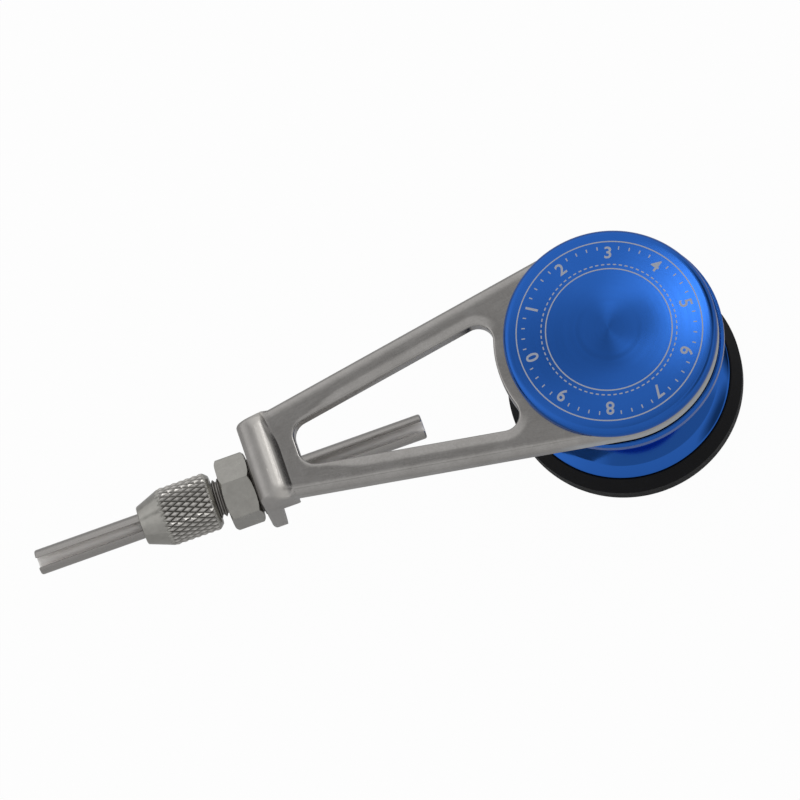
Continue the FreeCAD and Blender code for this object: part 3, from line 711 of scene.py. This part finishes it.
def rubber_ring():
    """Ring stretched over the rear flange: sloping front, round wall, lip behind."""
    inner_r, shoulder_z = 14.6, 3.15
    corners = [
        (REAR_RIM_R, REAR_RIM_Z, 0.2),
        (RING_R, shoulder_z, 0.3),
        (RING_R, 0.0, 0.7),
        (inner_r, 0.0, 0.4),
        (inner_r, SPOOL_BACK_Z, 0),
        (REAR_RIM_R - RING_SEAT, SPOOL_BACK_Z, 0),
        (REAR_RIM_R, SPOOL_BACK_Z + RING_SEAT, 0),
    ]
    verts, faces = turned(rounded(corners, 8), 256, on_axle)
    make_piece("grip_ring", verts, faces, RUBBER, "spool", ["rubber_ring"])


# -------- nozzle
def threaded_rows(x0, x1, segments, place):
    """Grid of a helical thread between two heights; rows past an end are pressed flat against it.

    Returns the vertices, the rows in a column and the rows in a turn.
    """
    root = STUD_R - THREAD_DEPTH
    shape = ((0.0, root), (0.10, root), (0.44, STUD_R), (0.56, STUD_R), (0.90, root))
    turns = int((x1 - x0) / THREAD_PITCH) + 3
    rows = [(turn + share, radius) for turn in range(-1, turns) for share, radius in shape]
    verts = []
    for k in range(segments):
        shift = k / segments
        for height, radius in rows:
            x = x0 + (height - shift) * THREAD_PITCH
            inside = min(max(x, x0), x1)
            verts.append(place(radius if x == inside else root, inside, TURN * k / segments))
    return verts, len(rows), len(shape)


def collet_stud():
    """Hollow screw: helical thread outside the bridge, plain neck through it, round head inside."""
    segments = 96
    bore, head_r = 2.01, 4.6
    neck_x = BRIDGE_X - WASHER_T
    head_x = high("collet_stud").x
    head = [
        (STUD_R, neck_x, 0),
        (STUD_R, BRIDGE_INNER_X, 0),
        (head_r, BRIDGE_INNER_X, 0.1),
        (head_r, head_x, 0.5),
        (bore, head_x, 0.2),
        (bore, STUD_END_X + 1.0, 0),
        (bore + 0.5, STUD_END_X, 0),
    ]
    head = rounded(head, 4)
    verts, rows, rows_per_turn = threaded_rows(STUD_END_X, neck_x, segments, on_nozzle)
    base = len(verts)
    count = len(head)
    verts += [on_nozzle(r, h, TURN * k / segments) for k in range(segments) for r, h in head]
    faces = []
    # one turn along the helix joins each column to the next, a whole pitch lower at the seam
    for k in range(segments):
        column = k * rows
        seam = k + 1 == segments
        following = 0 if seam else (k + 1) * rows
        drop = rows_per_turn if seam else 0
        for i in range(drop, rows - 1):
            beside = following + i - drop
            faces.append((column + i, column + i + 1, beside + 1, beside))
        here = base + k * count
        there = base + (k + 1) % segments * count
        for i in range(count - 1):
            faces.append((here + i, here + i + 1, there + i + 1, there + i))
        faces.append((column + rows - 1, here, there, following + rows - 1))
        faces.append((here + count - 1, column, following, there + count - 1))
    make_piece("stud_thread", verts, faces, THREAD_STEEL, "frame", ["collet_stud"])


def lock_washer():
    """Thin washer with a step in its rim."""
    inner_r, step_r, outer_r = 3.05, 4.25, 4.75
    front_x, step_x = BRIDGE_X - WASHER_T, BRIDGE_X - WASHER_T / 2
    corners = [
        (inner_r, front_x, 0),
        (step_r, front_x, 0.1),
        (step_r, step_x, 0),
        (outer_r, step_x, 0.1),
        (outer_r, BRIDGE_X, 0.1),
        (inner_r, BRIDGE_X, 0),
    ]
    verts, faces = turned(rounded(corners, 3), 128, on_nozzle)
    make_piece("step_washer", verts, faces, SHADED_WASHER_STEEL, "frame", ["lock_washer"])


def lock_nut():
    """Hexagon nut: soft corners and a cone that cuts both ends of them."""
    flat = 5.0  # from the middle to a flat
    sixth = math.pi / 6
    corner = flat / math.cos(sixth)
    turn = math.radians(-1.5)
    x0, x1 = low("lock_nut").x, high("lock_nut").x
    chamfer, run = 0.45, 0.675
    soft = 0.22  # radius of the hexagon's corners
    ease = 0.06  # of the end cone's edges
    bore, lead = STUD_R + 0.02, 0.25
    segments = 288

    def hexagon_r(angle):
        """Distance to the rounded hexagon along a spoke; corners at multiples of 60 degrees."""
        a = abs((angle + sixth) % (math.pi / 3) - sixth)
        plain = flat / math.cos(sixth - a)
        centre = (flat - soft) / math.cos(sixth)
        reach = centre * math.sin(a)
        if reach > soft:
            return plain
        on_arc = centre * math.cos(a) + math.sqrt(soft**2 - reach**2)
        return on_arc if on_arc * math.sin(a) < soft / 2 else plain

    face_r = corner - run  # of the round end face
    verts = []
    for k in range(segments):
        angle = TURN * k / segments
        r = hexagon_r(angle)
        # where the end cone meets this spoke's flat
        cut = max(0.0, (r - face_r) / run * chamfer)
        shy, rim = r - ease * 0.5 * (cut > 0), max(cut - ease, ease * 0.6)
        profile = [(bore + lead, x0), (face_r - ease, x0), (face_r + ease * 0.7, x0 + ease * 0.5)]
        profile += [(shy, x0 + rim), (r, x0 + cut + ease), (r, x1 - cut - ease), (shy, x1 - rim)]
        profile += [(face_r + ease * 0.7, x1 - ease * 0.5), (face_r - ease, x1), (bore + lead, x1)]
        profile += [(bore, x1 - lead), (bore, x0 + lead)]
        verts += [on_nozzle(min(radius, r), x, angle + turn) for radius, x in profile]
    faces = loop_faces(segments, len(profile))
    make_piece("hexagon_nut", verts, faces, NOZZLE_STEEL, "frame", ["lock_nut"], 24)


def collet_cap():
    """Grip cap: smooth chamfered base, cut diamond knurl, smooth conical nose."""
    nose_r, bore_r, base_bore_r = 2.98, 2.11, 3.05
    outer = [
        (base_bore_r, CAP_BASE_X, 0.2),
        (CAP_R - CAP_BASE_BREAK, CAP_BASE_X, 0.1),
        (CAP_R, CAP_BASE_X - CAP_BASE_BREAK, 0.1),
        (CAP_R, CAP_SHOULDER_X, 0.3),
        (nose_r, CAP_NOSE_X, 0.35),
        (bore_r, CAP_NOSE_X, 0.1),
        # the cone that closes the collet
        (2.39, -76.6, 0),
        (2.89, -73.85, 0),
        (base_bore_r, -73.55, 0),
    ]
    outer = rounded(outer, 5)
    # diamonds: two families of helical cuts that cross on a regular grid of rows and columns
    cell = 10  # rows and columns in a diamond
    steepness = 2.15  # 2 would give sharp points
    step = TURN * CAP_R / (KNURL_STARTS * math.tan(math.radians(KNURL_HELIX_DEG))) / cell
    columns = KNURL_STARTS * cell
    # the knurl ends on the cone, where the cuts have run out; the smooth outline goes on from there
    end_x = CAP_SHOULDER_X - 1.0
    foot = next(i for i, (r, _) in enumerate(outer) if r > CAP_R - CAP_BASE_BREAK - 0.2)
    nose = next(i for i, (_, x) in enumerate(outer) if x < end_x)

    def skin(x):
        """Radius of the smooth cap at x."""
        if x > CAP_BASE_X - CAP_BASE_BREAK:
            return CAP_R - CAP_BASE_BREAK + (CAP_BASE_X - x)
        if x < CAP_SHOULDER_X:
            return CAP_R - (CAP_R - nose_r) * (CAP_SHOULDER_X - x) / (CAP_SHOULDER_X - CAP_NOSE_X)
        return CAP_R

    plain = [(skin(end_x), end_x)] + outer[nose:] + outer[:foot]
    rows = [CAP_BASE_X - j * step for j in range(int((CAP_BASE_X - end_x) / step))]
    verts = []
    for k in range(columns):
        angle = TURN * k / columns
        for j, x in enumerate(rows):
            u, v = (k + j) / cell, (k - j) / cell
            pyramid = min(1.0, steepness * min(abs(u - round(u)), abs(v - round(v))))
            cut = CAP_R - KNURL_DEPTH * (1 - pyramid)
            verts.append(on_nozzle(min(skin(x), cut), x, angle))
        verts += [on_nozzle(r, x, angle) for r, x in plain]
    count = len(rows) + len(plain)
    faces = []
    for a, b, c, d in loop_faces(columns, count):
        k, j = divmod(a, count)
        knurled = j + 1 < len(rows)
        # a square that a cut crosses is split along it
        if knurled and (k - j) % cell == 0:
            faces += [(a, b, c), (a, c, d)]
        elif knurled and (k + j + 1) % cell == 0:
            faces += [(a, b, d), (b, c, d)]
        else:
            faces.append((a, b, c, d))
    make_piece("knurled_cap", verts, faces, KNURLED_STEEL, "cap", ["collet_cap"], 26)


def line_tube():
    """Slotted tube: a C section with soft lips, drawn along X with rounded ends."""
    outer, bore, half_slot = 1.96, 1.35, 0.74
    end_r = 0.38
    bore_share = 0.4  # of the outer rounding at the ends
    arc, end_steps, middle_steps = 64, 5, 12
    turn = math.radians(17.7)

    def section(inset):
        """Closed outline of the C, drawn in at the ends; angle 0 is the slot's middle."""
        r_out, r_in, half = outer - inset, bore + inset * bore_share, half_slot + inset * bore_share
        lip = min(0.10, 0.4 * (r_out - r_in))
        a_out = math.asin((half + lip) / r_out)
        a_in = math.asin((half + lip) / r_in)
        points = []
        for k in range(arc + 1):
            a = a_out + (TURN - 2 * a_out) * k / arc
            points.append((r_out * math.sin(a), r_out * math.cos(a)))
        lip_out = math.sqrt((r_out - lip) ** 2 - half**2)
        lip_in = math.sqrt((r_in + lip) ** 2 - half**2)
        mid_out = (-(half + lip * 0.29), lip_out + (r_out * math.cos(a_out) - lip_out) * 0.71)
        mid_in = (-(half + lip * 0.29), lip_in + (r_in * math.cos(a_in) - lip_in) * 0.71)
        points += [mid_out, (-half, lip_out), (-half, lip_in), mid_in]
        for k in range(arc + 1):
            a = -a_in - (TURN - 2 * a_in) * k / arc
            points.append((r_in * math.sin(a), r_in * math.cos(a)))
        points += [(-mid_in[0], mid_in[1]), (half, lip_in), (half, lip_out), (-mid_out[0], mid_out[1])]
        return points

    quarter = [math.pi / 2 * k / end_steps for k in range(end_steps + 1)]
    near = sorted((TUBE_TIP_X + end_r * (1 - math.sin(a)), end_r * (1 - math.cos(a))) for a in quarter)
    span = TUBE_INNER_X - TUBE_TIP_X
    middle = [(TUBE_TIP_X + span * k / middle_steps, 0.0) for k in range(1, middle_steps)]
    far = sorted((TUBE_TIP_X + TUBE_INNER_X - x, inset) for x, inset in near)
    stations = near + middle + far
    verts = []
    cos, sin = math.cos(turn), math.sin(turn)
    for x, inset in stations:
        for across, up in section(inset):
            # the slot faces up, turned towards -Y
            y = -(across * cos + up * sin)
            z = -across * sin + up * cos
            verts.append((x, y, NOZZLE_Z + z))
    count = len(section(0.0))
    faces = loop_faces(len(stations), count, around=False)
    inner_start = arc + 5  # first point of the bore's arc
    for base in (0, (len(stations) - 1) * count):
        for k in range(arc):
            far_side = inner_start + arc - k
            faces.append((base + k, base + k + 1, base + far_side - 1, base + far_side))
        faces.append(tuple(base + i for i in range(arc, inner_start + 1)))
        faces.append((base, *(base + i for i in range(inner_start + arc, count))))
    make_piece("slotted_tube", verts, faces, TUBE_STEEL, "tube", ["line_tube"], 35)


# -------- frame
def to_lines(points, lines):
    """Shortest distance from each of the points to a set of straight pieces, all flat."""
    best = np.full(len(points), 1e9)
    for a, b in lines:
        start, along = np.array(a), np.array(b) - np.array(a)
        t = np.clip((points - start) @ along / max(along @ along, 1e-12), 0, 1)
        best = np.minimum(best, np.linalg.norm(points - start - t[:, None] * along, axis=1))
    return best


def inside_any(points, triangles):
    """True for the flat points that lie in one of the triangles."""
    found = np.zeros(len(points), bool)
    for a, b, c in triangles:
        sides = []
        for p, q in ((a, b), (b, c), (c, a)):
            x, y = (points - p).T
            sides.append((q[0] - p[0]) * y - (q[1] - p[1]) * x)
        sides = np.array(sides)
        found |= (sides >= 0).all(0) | (sides <= 0).all(0)
    return found


def cut_rows(bm, axis, places, left_of=None):
    """Cuts the mesh along planes square to axis 0 or 1, so that long faces get vertices on the way."""
    square = Vector((axis == 0, axis == 1, 0))
    for place in places:
        faces = bm.faces[:]
        if left_of is not None:
            faces = [f for f in faces if max(v.co.x for v in f.verts) < left_of * MM]
        edges = list({e: None for f in faces for e in f.edges})
        verts = list({v: None for f in faces for v in f.verts})
        at = square * place * MM
        bmesh.ops.bisect_plane(bm, geom=faces + edges + verts, plane_co=at, plane_no=square, dist=1e-6)


def flat_xy(vert):
    return (vert.co.x / MM, vert.co.y / MM)


def arm_lines(bm):
    """Straight pieces of the arm's outline and of its window, from the rim of the arm's back."""
    window_x, taper_x, bar_w = (-51, -12), -53, 2
    hub_r = 8  # the rims round the axle lie inside it
    outline, window = [], []
    for edge in bm.edges:
        if any(abs(v.co.z / MM - ARM_BACK_Z) > 1e-3 for v in edge.verts) or len(edge.link_faces) != 2:
            continue
        tilt = sorted(abs(face.normal.z) for face in edge.link_faces)
        if tilt[0] > 0.3 or tilt[1] < 0.9:
            continue
        a, b = (flat_xy(v) for v in edge.verts)
        x, y = (a[0] + b[0]) / 2, (a[1] + b[1]) / 2
        across = x < -52 and abs(a[1] - b[1]) > abs(a[0] - b[0])  # the gusset's end, below the arm
        if math.hypot(x, y) < hub_r or across:
            continue
        inner_w = BLOCK_HALF_W + math.tan(ARM_TAPER) * (x - taper_x) - bar_w
        in_window = window_x[0] < x < window_x[1] and abs(y) < inner_w
        (window if in_window else outline).append((a, b))
    return outline, window


def fine_front(bm, spacing):
    """Swaps the arm's flat front for an even net of small faces."""

    def on_front(face):
        return face.normal.z > 0.999 and all(abs(v.co.z / MM - ARM_FRONT_Z) < 1e-3 for v in face.verts)

    flat = [f for f in bm.faces if on_front(f)]
    uses = {}
    for face in flat:
        for edge in face.edges:
            uses[edge] = uses.get(edge, 0) + 1
    rim = [edge for edge, count in uses.items() if count == 1]
    rim_verts = list({v: None for edge in rim for v in edge.verts})
    number = {v: i for i, v in enumerate(rim_verts)}
    pairs = [(number[e.verts[0]], number[e.verts[1]]) for e in rim]
    lines = [(flat_xy(e.verts[0]), flat_xy(e.verts[1])) for e in rim]
    triangles = [[flat_xy(v) for v in f.verts] for f in flat]
    bmesh.ops.delete(bm, geom=flat, context="FACES")
    left, lower, net_w, net_h = -54.0, -17.0, 72, 34
    gap = spacing * math.sqrt(0.75)
    spots = [(i, j) for j in range(int(net_h / gap)) for i in range(int(net_w / spacing))]
    net = np.array([(left + spacing * (i + 0.5 * (j % 2)), lower + gap * j) for i, j in spots])
    net = net[to_lines(net, lines) > spacing * 0.5]
    net = net[inside_any(net, triangles)]
    points = [Vector(flat_xy(v)) for v in rim_verts] + [Vector(p) for p in net]
    points, _, filled, sources, _, _ = delaunay_2d_cdt(points, pairs, [], 0, 1e-5, True)
    verts = []
    for point, origin in zip(points, sources):
        old = [i for i in origin if i < len(rim_verts)]
        place = (point.x * MM, point.y * MM, ARM_FRONT_Z * MM)
        verts.append(rim_verts[old[0]] if old else bm.verts.new(place))
    # flat slivers along the rim are left out
    corners = np.array([[tuple(points[i]) for i in f] for f in filled])
    u, v = corners[:, 1] - corners[:, 0], corners[:, 2] - corners[:, 0]
    area = np.abs(u[:, 0] * v[:, 1] - u[:, 1] * v[:, 0]) / 2
    for face, keep in zip(filled, inside_any(corners.mean(1), triangles) & (area > 1e-5)):
        if keep:
            bm.faces.new([verts[i] for i in face])


def round_block(x, y, z):
    """Pulls the bent block's outer edges in to a larger radius; arrays in millimetres."""
    slope = (BEND_RISE - PAD_RISE) / (PAD_X - BRIDGE_X)
    tilt = math.atan(slope)
    from_x = x - (BRIDGE_X + BEND_R)
    from_z = z - (ARM_FRONT_Z + BEND_RISE - slope * BEND_R - BEND_R / math.cos(tilt))
    reach = np.maximum(np.hypot(from_x, from_z), 1e-6)
    past_bend = np.arctan2(from_x, from_z) > tilt
    out_x = np.where(from_z < 0, -1.0, np.where(past_bend, math.sin(tilt), from_x / reach))
    out_z = np.where(from_z < 0, 0.0, np.where(past_bend, math.cos(tilt), from_z / reach))
    depth = BEND_R - (from_x * out_x + from_z * out_z)
    across = BLOCK_ROUND_R - (BLOCK_HALF_W - np.abs(y))
    below = BLOCK_ROUND_R - depth
    span = np.maximum(np.hypot(across, below), 1e-6)
    outside = (across > 0) & (below > 0) & (span > BLOCK_ROUND_R)
    pull = np.where(outside, 1 - BLOCK_ROUND_R / span, 0) * np.clip((PAD_X + 0.4 - x) / 1.4, 0, 1)
    return x - out_x * below * pull, y - np.sign(y) * across * pull, z - out_z * below * pull


def eased(share):
    """Smooth step from 0 to 1."""
    t = np.clip(share, 0, 1)
    return t * t * (3 - 2 * t)


def polished_frame():
    """The bent strip, finely netted in front and eased as hand polishing leaves it."""
    bm = bmesh.new()
    bm.from_mesh(NODES["frame"].data)
    bmesh.ops.remove_doubles(bm, verts=bm.verts, dist=0.002 * MM)
    bmesh.ops.triangulate(bm, faces=bm.faces)
    bm.normal_update()
    outline, window = arm_lines(bm)
    # the block is cut finely, the bars in steps along their length
    near_side = [BLOCK_HALF_W - 0.4 * k for k in (1, 2, 3)]
    across = [-w for w in near_side] + [-5.4 + 0.45 * k for k in range(25)] + near_side
    cut_rows(bm, 1, across, SHOULDER_X + 0.05)
    pad = [SHOULDER_X - 0.15 * k for k in range(1, 10)] + [PAD_X - 0.3 * k for k in range(1, 13)]
    cut_rows(bm, 0, pad, SHOULDER_X + 0.05)
    cut_rows(bm, 0, [SHOULDER_X + 0.5 * k for k in range(1, 110)])
    bmesh.ops.triangulate(bm, faces=[f for f in bm.faces if len(f.verts) > 3])
    bm.normal_update()
    fine_front(bm, 0.4)
    verts = list(bm.verts)
    x, y, z = np.array([tuple(v.co) for v in verts]).T / MM
    plan = np.column_stack([x, y])
    from_side = BLOCK_HALF_W - np.abs(y)
    from_edge = np.where(x < SHOULDER_X, from_side, to_lines(plan, outline))
    from_window = to_lines(plan, window)
    # crown: the outer part of each bar falls away to the outline, a flank of it to the window
    crown_w, crown_drop = 1.9, 0.20
    flank_w = 0.4 + 1.2 * eased((x + 49) / 8)
    crown = crown_drop * np.clip(1 - from_edge / crown_w, 0, 1) ** 2
    t = np.clip(flank_w - from_window, 0, flank_w)
    fall = crown + 0.105 * t + 0.016 * t**2
    depth = np.clip((z - ARM_BACK_Z) / ARM_T, 0, 1)
    drop = fall * depth * np.clip((x + 56.5) / 3.0, 0, 1)
    # the pad falls away round its end as it does in the middle, and less and less towards the bend
    share = np.clip((x + 57.6) / 3.0, 0, 1)
    rise = np.clip(z - ARM_FRONT_Z, 0, None)
    on_pad = (x < SHOULDER_X + 0.01) & (rise > 0)
    middle = on_pad & (np.abs(y) < 5)
    order = np.argsort(x[middle])
    # the foot of its slope leans back towards +Y, and its -Y corner is rounder
    lean = PAD_LEAN * eased((y - 0.5) / 6.5)
    corner = np.where(y < 0, 2.2, 1.8)
    behind, aside = SHOULDER_X - x, 1.3 * (from_side - 0.1)
    u, v = corner - behind, corner - aside
    inward = np.where((u > 0) & (v > 0), corner - np.hypot(u, v), np.minimum(behind, aside))
    allowed = np.interp(SHOULDER_X - np.clip(inward, 0, None), x[middle][order], rise[middle][order])
    drop += np.where(on_pad, np.clip(rise - allowed, 0, None) * share, 0)
    slope = (x > PAD_X) & (x < SHOULDER_X + 0.01) & (z > ARM_FRONT_Z - 0.001)
    x = x - np.where(slope, lean * (x - PAD_X) / (SHOULDER_X - PAD_X), 0)
    x, y, z = round_block(x, y, z - drop)
    for vert, place in zip(verts, np.column_stack([x, y, z])):
        vert.co = Vector(place) * MM
    mesh = bpy.data.meshes.new("eased")
    bm.to_mesh(mesh)
    bm.free()
    verts = [tuple(v.co / MM) for v in mesh.vertices]
    faces = [tuple(p.vertices) for p in mesh.polygons]
    bpy.data.meshes.remove(mesh)

    def foot(place):
        """Where the pad's slope meets the arm, a crisp inner corner."""
        return PAD_X - 0.5 < place.x < SHOULDER_X + 0.6 and place.z > ARM_FRONT_Z - 0.3

    make_piece("polished_arm", verts, faces, STEEL, "frame", ["frame"], 21, crisp=foot)


# -------- build
drag_knob()
dial_marks()
dial_numbers()
spool()
rubber_ring()
collet_stud()
lock_washer()
lock_nut()
collet_cap()
line_tube()
polished_frame()

KEPT_NODES = {
    "knob_insert": BRASS,
    "pressure_washer": AXLE_STEEL,
    "disc_springs": SPRING,
    "axle_bolt": AXLE_STEEL,
    "front_drag_washer": FIBRE,
    "rear_drag_washer": FIBRE,
    "rear_thrust_washer": AXLE_STEEL,
    "front_bush": BRONZE,
    "rear_bush": BRONZE,
    "rear_cap": BLUE_SPOOL,
    "split_collet": NOZZLE_STEEL,
}
for node, material in KEPT_NODES.items():
    NODES[node].data.materials.clear()
    NODES[node].data.materials.append(material)


# -------- stage
def floor():
    """White table: it glows for the eye and in reflections, and still takes the object's shadow."""
    g = material_graph("studio_floor")
    diffuse = g.node("ShaderNodeBsdfDiffuse", {"Color": rgb(0.72, 0.72, 0.72)}).outputs[0]
    glow = g.node("ShaderNodeEmission", {"Color": rgb(1, 1, 1), "Strength": 1.0}).outputs[0]
    rays = g.node("ShaderNodeLightPath").outputs
    mirrored = g.math("MAXIMUM", rays["Is Glossy Ray"], rays["Is Transmission Ray"])
    seen = g.times(rays["Is Camera Ray"], 0.97)
    share = g.math("MAXIMUM", seen, g.times(mirrored, 0.05))
    lit = g.blend(share, diffuse, glow)
    # seen from below it lets the view through
    behind = g.node("ShaderNodeNewGeometry").outputs["Backfacing"]
    clear = g.node("ShaderNodeBsdfTransparent").outputs[0]
    g.node("ShaderNodeOutputMaterial", {0: g.blend(behind, lit, clear)})
    half = 3.0
    corners = [(-half, -half, 0), (half, -half, 0), (half, half, 0), (-half, half, 0)]
    mesh = bpy.data.meshes.new("studio_floor")
    mesh.from_pydata(corners, [], [(0, 1, 2, 3)])
    mesh.materials.append(g.block)
    plane = add_object("studio_floor", mesh)
    plane.location.z = -0.02 * MM


def world():
    """Studio tent, written by direction: even walls, a slit overhead where the camera looks in."""
    made = bpy.data.worlds.new("studio")
    bpy.context.scene.world = made
    g = Graph(made)
    direction = g.node("ShaderNodeTexCoord").outputs["Generated"]
    x, y, z = g.split(direction)

    def along(aim):
        """Cosine of the angle to a direction."""
        return g.vectors("DOT_PRODUCT", direction, Vector(aim).normalized(), output="Value")

    def lobe(aim, inner_deg, outer_deg):
        """1 round a direction, 0 beyond the outer angle."""
        outer, inner = math.cos(math.radians(outer_deg)), math.cos(math.radians(inner_deg))
        return g.remap(along(aim), outer, inner)

    def darkened(level, mask, share):
        return g.times(level, g.minus(1.0, g.times(mask, share)))

    level = g.plus(0.80, g.times(y, 0.15))
    level = g.plus(level, g.times(lobe((-0.8, 0.2, 0.5), 10, 40), 0.25))
    # the slit: a dark band across the top, from the left down to the right
    off_slit = g.math("ABSOLUTE", along((0.17, 0.93, -0.27)))
    slit = g.fade(off_slit, math.sin(math.radians(5.5)), math.sin(math.radians(9)))
    slit = g.times(slit, g.remap(z, 0.45, 0.7))
    right_end = g.plus(g.times(x, 0.6), g.times(y, 0.5))
    slit = g.times(slit, g.fade(right_end, 0.20, 0.25))
    level = darkened(level, slit, 0.55)
    # what the slope of the pad and its corner mirror
    dark = lobe((0.86, 0.30, 0.41), 13, 24)
    dark = g.math("MAXIMUM", dark, g.times(lobe((0.68, -0.34, 0.65), 9, 20), 0.8))
    level = darkened(level, dark, 0.92)
    # part of a ring, which the spool's cone mirrors as a navy band
    from_middle = along((-0.02, 0.307, 0.951))
    off_ring = g.math("ABSOLUTE", g.minus(from_middle, math.cos(math.radians(30))))
    ring = g.times(g.fade(off_ring, 0.032, 0.058), g.remap(x, -0.30, -0.22))
    ring = g.times(ring, g.fade(y, 0.0, 0.08))
    level = darkened(level, ring, 0.35)
    studio = g.node("ShaderNodeBackground", {"Strength": level}).outputs[0]
    white = g.node("ShaderNodeBackground", {"Color": rgb(1, 1, 1)}).outputs[0]
    seen = g.node("ShaderNodeLightPath").outputs["Is Camera Ray"]
    g.node("ShaderNodeOutputWorld", {0: g.blend(seen, studio, white)})


def softbox(name, direction, distance, width, height, radiance):
    """Area lamp that faces the object; radiance is what a mirror would show of it."""
    data = bpy.data.lights.new(name, "AREA")
    data.shape = "RECTANGLE"
    data.size, data.size_y = width, height
    data.energy = radiance * math.pi * width * height
    lamp = add_object(name, data)
    towards = Vector(direction).normalized()
    lamp.location = Vector((-0.03, 0, 0.02)) + towards * distance
    lamp.rotation_mode = "QUATERNION"
    lamp.rotation_quaternion = towards.to_track_quat("Z", "Y")


def camera():
    """Long lens, high over the front of the part, rolled so that the arm falls to the left."""
    right = (0.94193296, -0.31337011, -0.12067098)
    up = (0.33522452, 0.89855198, 0.28324701)
    back = (0.019668, -0.30725156, 0.95142506)
    axes = Matrix((right, up, back)).transposed()
    aim = Vector((0, 0, 30.0))
    seen_at = Vector((31.494, 10.716, -1059.494))
    data = bpy.data.cameras.new("camera")
    data.sensor_width = 36
    data.lens = 315.95
    data.clip_start, data.clip_end = 0.05, 20
    made = add_object("camera", data)
    made.matrix_world = Matrix.Translation((aim - axes @ seen_at) * MM) @ axes.to_4x4()
    bpy.context.scene.camera = made


floor()
world()
softbox("key_softbox", (0.385, 0.31, 0.87), 1.2, 0.26, 0.34, 2.2)
camera()
bpy.context.scene.view_settings.view_transform = "Standard"
